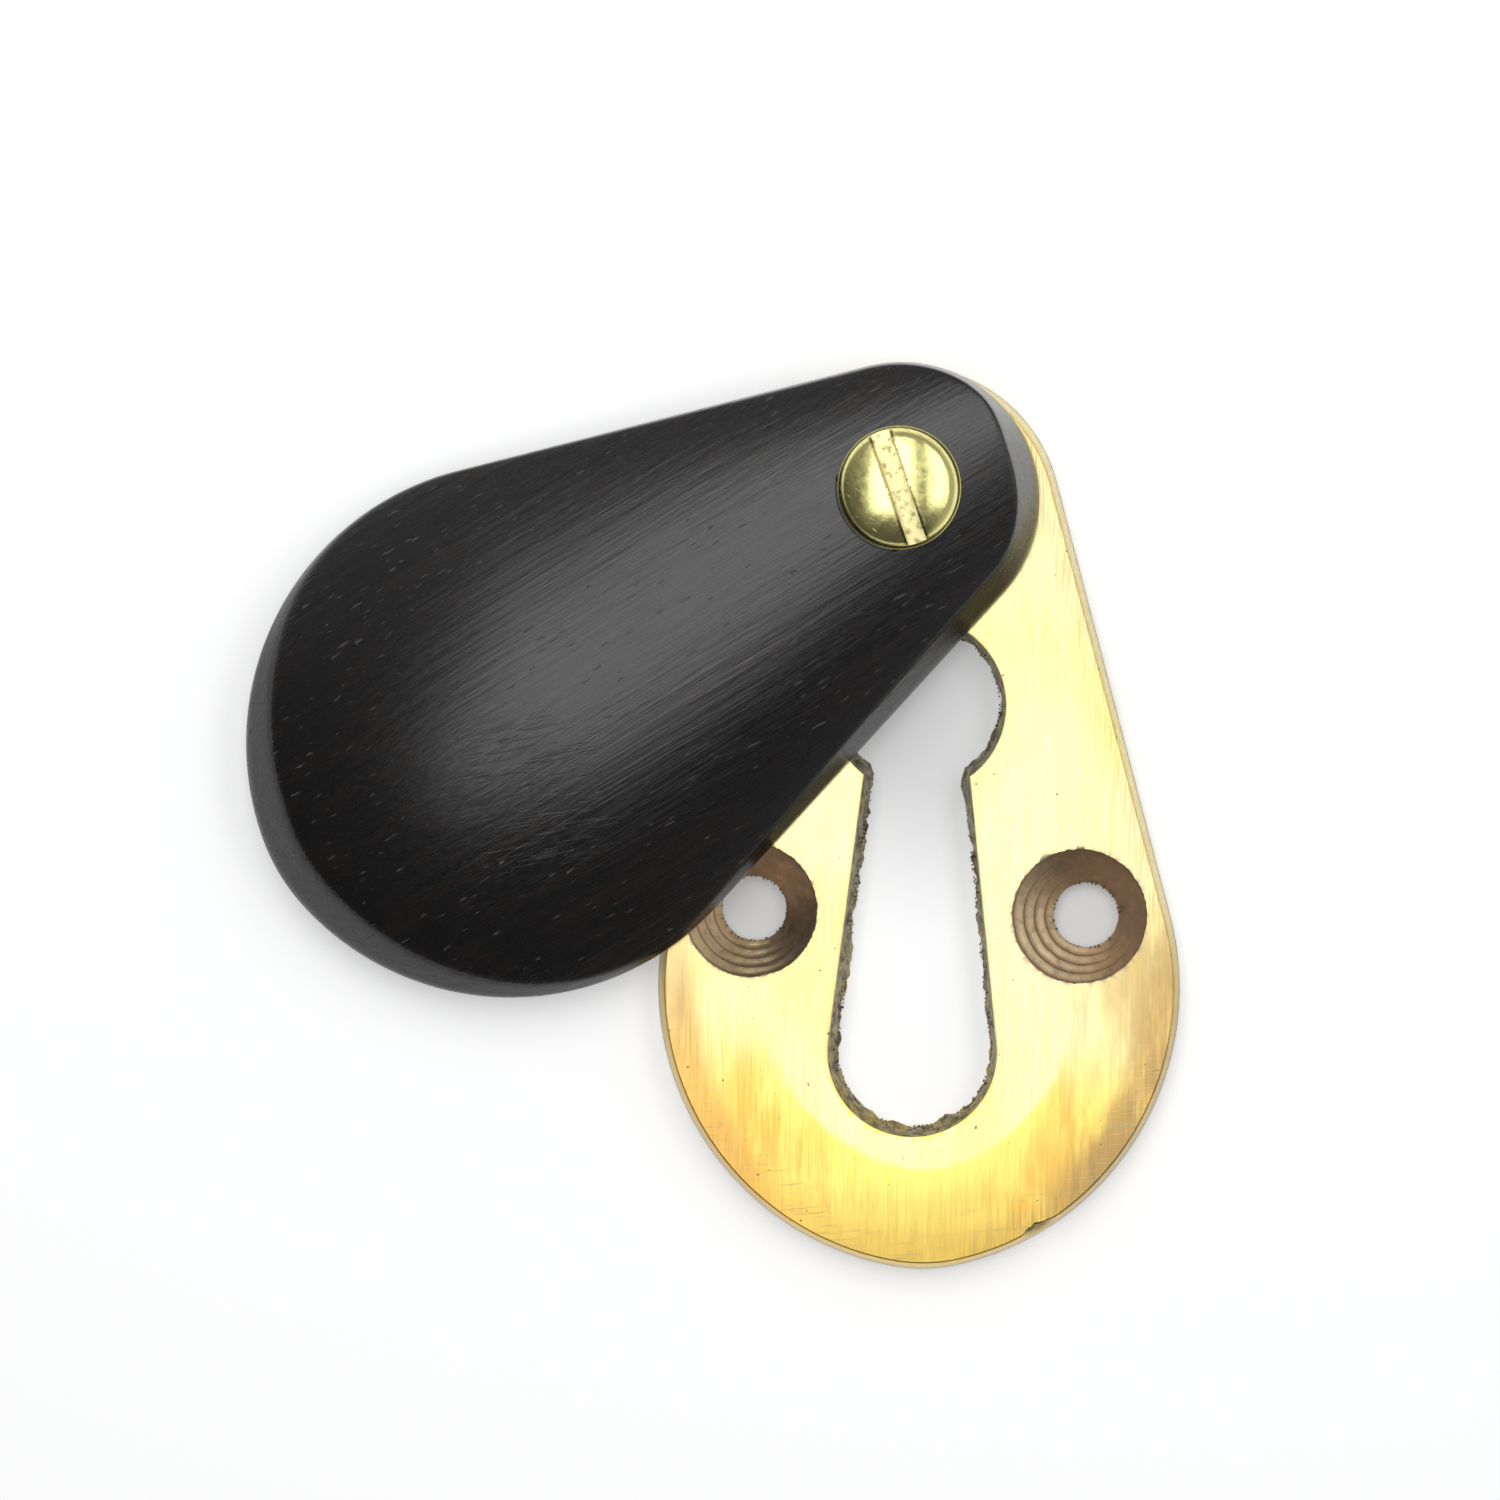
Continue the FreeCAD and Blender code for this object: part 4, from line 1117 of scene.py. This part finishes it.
@dataclass(frozen=True)
class PivotScrew:
    """The slotted round-head screw that carries the cover."""

    radius: float = 2.0
    tip: float = 0.2
    tip_chamfer: float = 0.4
    under_head: float = 8.65
    head_radius: float = 3.75
    flange: float = 0.45
    seen_lip: float = 0.066
    dome_height: float = 1.5
    shoulder: float = 1.0
    slot_width: float = 1.16
    slot_depth: float = 1.0
    slot_lean: float = 20.0
    edge: float = 0.14
    count: int = 180

    def profile(self) -> list[Point]:
        """Return the radius and height of each ring, from the tip to the crown."""
        face = self.under_head + self.flange
        base = self.head_radius - self.seen_lip
        middle = base - self.shoulder
        rise = self.dome_height
        crown = (middle ** 2 + rise ** 2 - self.shoulder ** 2) / (2 * (rise - self.shoulder))
        bend = math.atan2(crown - rise, middle)
        profile = [(self.radius - self.tip_chamfer, self.tip), (self.radius, self.tip + self.tip_chamfer),
                   (self.radius, self.under_head), (self.head_radius - 0.05, self.under_head),
                   (self.head_radius, self.under_head + 0.05), (self.head_radius, face - 0.14),
                   (self.head_radius - 0.015, face - 0.11), (self.head_radius - 0.05, face - 0.09),
                   (base + 0.02, face - 0.06)]
        for angle in np.linspace(0.05, bend, 16):
            profile.append((middle + self.shoulder * math.cos(angle), face + self.shoulder * math.sin(angle)))
        for angle in np.linspace(bend, math.pi / 2, 26)[1:-1]:
            profile.append((crown * math.cos(angle), face + rise - crown + crown * math.sin(angle)))
        return profile

    def build(self, finish: bpy.types.Material) -> bpy.types.Object:
        """Build the screw as one closed mesh with its slot cut."""
        top = self.under_head + self.flange + self.dome_height
        draft = Draft(cut=0.0, edge=0.0)
        rings = [lift(circle((0, 0), radius, self.count), height) for radius, height in self.profile()]
        draft.rings(rings)
        draft.fan(rings[-1], top)
        draft.fan(rings[0], self.tip)
        piece = draft.piece("pivot_screw_turning", finish)
        self.cut_slot(piece.data, (top - self.slot_depth) * MM)
        self.settle(piece.data)
        return piece

    def cut_slot(self, mesh: bpy.types.Mesh, level: float) -> None:
        """Cut the screwdriver slot, soften its edges and mark them for their painted shade.

        Args:
            mesh: the screw about its own axis.
            level: height of the slot's floor, in metres.
        """
        half = self.slot_width / 2 * MM
        made = bmesh.new()
        made.from_mesh(mesh)
        for x in (-half, half):
            bmesh.ops.bisect_plane(made, geom=made.verts[:] + made.edges[:] + made.faces[:],
                                   plane_co=(x, 0, 0), plane_no=(1, 0, 0), dist=1e-8)
        high = [f for f in made.faces if f.calc_center_median().z > level - 0.2 * MM]
        geometry = list({v for f in high for v in f.verts}) + list({e for f in high for e in f.edges}) + high
        bmesh.ops.bisect_plane(made, geom=geometry, plane_co=(0, 0, level), plane_no=(0, 0, 1), dist=1e-8)
        gone = []
        for f in made.faces:
            middle = f.calc_center_median()
            if abs(middle.x) < half and middle.z > level:
                gone.append(f)
        bmesh.ops.delete(made, geom=gone, context="FACES")
        self.close_slot(made, half, level)

        rim = [e for e in made.edges if len(e.link_faces) == 2 and e.calc_face_angle(0) > math.radians(40)
               and max(abs(v.co.x) for v in e.verts) < 1.02 * half and e.verts[0].co.z > level - 1e-6]
        bmesh.ops.bevel(made, geom=rim, offset=self.edge * MM, segments=2, profile=0.5, affect="EDGES",
                        clamp_overlap=True)
        # mark the bevelled slot edges, which get painted shade and grime
        edge = made.verts.layers.float["edge"]
        for v in made.verts:
            v[edge] = float(v.co.z > level + 0.05 * MM and abs(abs(v.co.x) - half) < (self.edge + 0.01) * MM)
        made.to_mesh(mesh)
        made.free()

    def close_slot(self, made: bmesh.types.BMesh, half: float, level: float) -> None:
        """Give the open slot its two walls and its floor, and mark the floor as cut.

        Args:
            made: the screw with the slot's metal taken out.
            half: half the slot's width, in metres.
            level: height of its floor, in metres.
        """
        border = [e for e in made.edges if e.is_boundary]
        for x in (-half, half):
            made.faces.new(sorted({v for e in border for v in e.verts if abs(v.co.x - x) < SAME_PLACE},
                                  key=lambda v: v.co.y))
        low = sorted((v for e in border for v in e.verts if abs(v.co.z - level) < SAME_PLACE),
                     key=lambda v: v.co.x)
        ends = [sorted({v for v in low if v.co.y * sign > 0}, key=lambda v: v.co.x * sign) for sign in (-1, 1)]
        made.faces.new(ends[0] + ends[1])
        cut = made.verts.layers.float["cut"]
        for v in made.verts:
            v[cut] = float(abs(v.co.z - level) < SAME_PLACE and abs(v.co.x) < half + SAME_PLACE)
        bmesh.ops.recalc_face_normals(made, faces=made.faces)

    def settle(self, mesh: bpy.types.Mesh) -> None:
        """Turn the screw to the lean of its slot and stand it at its pivot."""
        x, y = node_centre("pivot_screw")
        c, s = math.cos(math.radians(self.slot_lean)), math.sin(math.radians(self.slot_lean))
        for v in mesh.vertices:
            v.co = (c * v.co.x - s * v.co.y + x * MM, s * v.co.x + c * v.co.y + y * MM, v.co.z)
        mesh.shade_smooth()
        mesh.set_sharp_from_angle(angle=math.radians(SHARP_ANGLE))


@dataclass(frozen=True)
class Softbox:
    """A rectangular lamp that faces straight down."""

    name: str
    place: tuple[float, float, float]
    size: Point
    radiance: float

    def build(self) -> None:
        """Add the lamp."""
        lamp = bpy.data.lights.new(self.name, "AREA")
        lamp.shape = "RECTANGLE"
        lamp.size, lamp.size_y = self.size
        lamp.energy = 4 * self.radiance * self.size[0] * self.size[1]
        holder = place(bpy.data.objects.new(self.name, lamp))
        holder.location = self.place


@dataclass(frozen=True)
class Studio:
    """Pale floor, soft lamps and the camera above the part."""

    target: tuple[float, float, float] = (-0.01051, 0.0098, 0.0)
    distance: float = 0.385
    right_tilt: float = 4.0
    up_tilt: float = 1.5
    roll: float = -0.95
    focal_share: float = 6198 / 1500
    sensor: float = 36.0
    clip: Point = (0.01, 20.0)
    floor_size: float = 6.0
    paper: Colour = (0.94, 0.945, 0.95, 1.0)
    glow: float = 0.3
    keyhole_centre: tuple[float, float, float] = (0.0, 12.0, 0.0)
    keyhole_reach: Point = (2.0, 15.0)
    keyhole_shade: float = 0.7
    fixing_centre: tuple[float, float, float] = (10.15, 0.0, 0.0)
    fixing_reach: Point = (2.5, 5.0)
    fixing_shade: float = 0.62
    lamps: tuple[Softbox, ...] = (
        Softbox("key_overhead", (-0.047, 0.107, 0.30), (0.198, 0.390), 1.95),
        Softbox("side_right", (0.188, 0.110, 0.30), (0.126, 0.342), 1.7),
    )

    def camera(self) -> None:
        """Add the camera that looks down on the part."""
        data = bpy.data.cameras.new("camera")
        data.sensor_width = self.sensor
        data.lens = self.sensor * self.focal_share
        data.clip_start, data.clip_end = self.clip
        back = Vector((slope(self.right_tilt), slope(self.up_tilt), 1.0)).normalized()
        up = Vector((math.sin(math.radians(self.roll)), math.cos(math.radians(self.roll)), 0.0))
        up = (up - back * up.dot(back)).normalized()
        right = up.cross(back)
        holder = place(bpy.data.objects.new("camera", data))
        turned = holder.matrix_world.to_3x3()
        for row in range(3):
            turned[row][0], turned[row][1], turned[row][2] = right[row], up[row], back[row]
        holder.matrix_world = turned.to_4x4()
        holder.location = Vector(self.target) + back * self.distance
        bpy.context.scene.camera = holder

    def floor(self) -> None:
        """Add the pale floor that the part lies on, shaded under the keyhole and the fixing holes."""
        half = self.floor_size / 2
        mesh = bpy.data.meshes.new("floor")
        mesh.from_pydata([(-half, -half, 0), (half, -half, 0), (half, half, 0), (-half, half, 0)], [],
                         [(0, 1, 2, 3)])
        material, recipe = shader("floor_white")
        rays = recipe.node("ShaderNodeLightPath").outputs
        seen = recipe.math("ADD", rays["Is Camera Ray"], rays["Is Glossy Ray"], clamp=True)
        seen = recipe.math("ADD", seen, rays["Is Transmission Ray"], clamp=True)
        here = recipe.millimetres()
        both_sides = recipe.node("ShaderNodeVectorMath", {0: here}, operation="ABSOLUTE").outputs[0]
        keyhole = recipe.span(recipe.distance(here, self.keyhole_centre), *self.keyhole_reach,
                              self.keyhole_shade, 1.0)
        fixings = recipe.span(recipe.distance(both_sides, self.fixing_centre), *self.fixing_reach,
                              self.fixing_shade, 1.0)
        shade = recipe.times(keyhole, fixings)
        paper = recipe.node("ShaderNodeBsdfDiffuse", {"Color": recipe.mix(shade, BLACK, self.paper)})
        glow = recipe.node("ShaderNodeEmission", {
            "Color": WHITE, "Strength": recipe.times(seen, self.glow, shade)})
        recipe.surface("ShaderNodeOutputMaterial", recipe.node("ShaderNodeAddShader", {
            0: paper.outputs[0], 1: glow.outputs[0]}))
        mesh.materials.append(material)
        place(bpy.data.objects.new("floor", mesh))

    def world(self) -> None:
        """Make the surroundings: white at the horizon, dim overhead between the lamps."""
        world = bpy.data.worlds.new("studio")
        bpy.context.scene.world = world
        world.use_nodes = True
        world.node_tree.nodes.clear()
        recipe = Recipe(world.node_tree)
        way = recipe.node("ShaderNodeTexCoord").outputs["Generated"]
        x, y, z = recipe.node("ShaderNodeSeparateXYZ", {0: way}).outputs
        level = recipe.math("MAXIMUM", recipe.span(y, -0.1, 0.8, 0.11, 0.42), recipe.span(x, 0.3, 0.8, 0.0, 0.55))
        horizon = recipe.times(recipe.span(z, 0.04, 0.14, 1.0, 0.0),
                               recipe.span(recipe.math("ADD", x, y), -0.7, 0.2, 0.35, 1.0))
        level = recipe.math("ADD", level, horizon, clamp=True)
        recipe.surface("ShaderNodeOutputWorld", recipe.node("ShaderNodeBackground", {"Strength": level}))

    def build(self) -> None:
        """Add everything that isn't part of the object."""
        bpy.context.scene.view_settings.view_transform = "Standard"
        self.camera()
        self.floor()
        self.world()
        for lamp in self.lamps:
            lamp.build()


class Part(Enum):
    """The pieces of the escutcheon: the solid each one stands for, its body and its slot."""

    BACK_PLATE = ("back_plate", "plate", "cast_brass")
    SWING_COVER = ("swing_cover", "cover", "ebony")
    PIVOT_SCREW = ("pivot_screw", "plate", "turned_brass")


def fit(piece: bpy.types.Object, part: Part, stands_for: bool = True) -> None:
    """Hang a finished piece on its body.

    Args:
        piece: the object.
        part: the piece of the escutcheon that it belongs to.
        stands_for: whether it takes the place of the solid.
    """
    node, body, slot = part.value
    if stands_for:
        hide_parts(node)
    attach(piece, body)
    triangles = sum(len(p.vertices) - 2 for p in piece.data.polygons)
    log.info("%s rides on %s, %d triangles", piece.name, body, triangles)


def main() -> None:
    """Build the escutcheon and the studio."""
    logging.basicConfig(level=logging.INFO, format="%(name)s: %(message)s")
    cover = SwingCover()
    grain = 90.0 + cover.turn_angle
    plate, brass = BackPlate(), CastBrass().material()
    fit(plate.build(brass), Part.BACK_PLATE)
    fit(EdgeBurrs().build(plate.torn_edges(), brass), Part.BACK_PLATE, stands_for=False)
    fit(cover.build(Ebony(grain).material()), Part.SWING_COVER)
    fit(PivotScrew().build(TurnedBrass().material()), Part.PIVOT_SCREW)
    Studio().build()


if __name__ == "__main__":
    main()
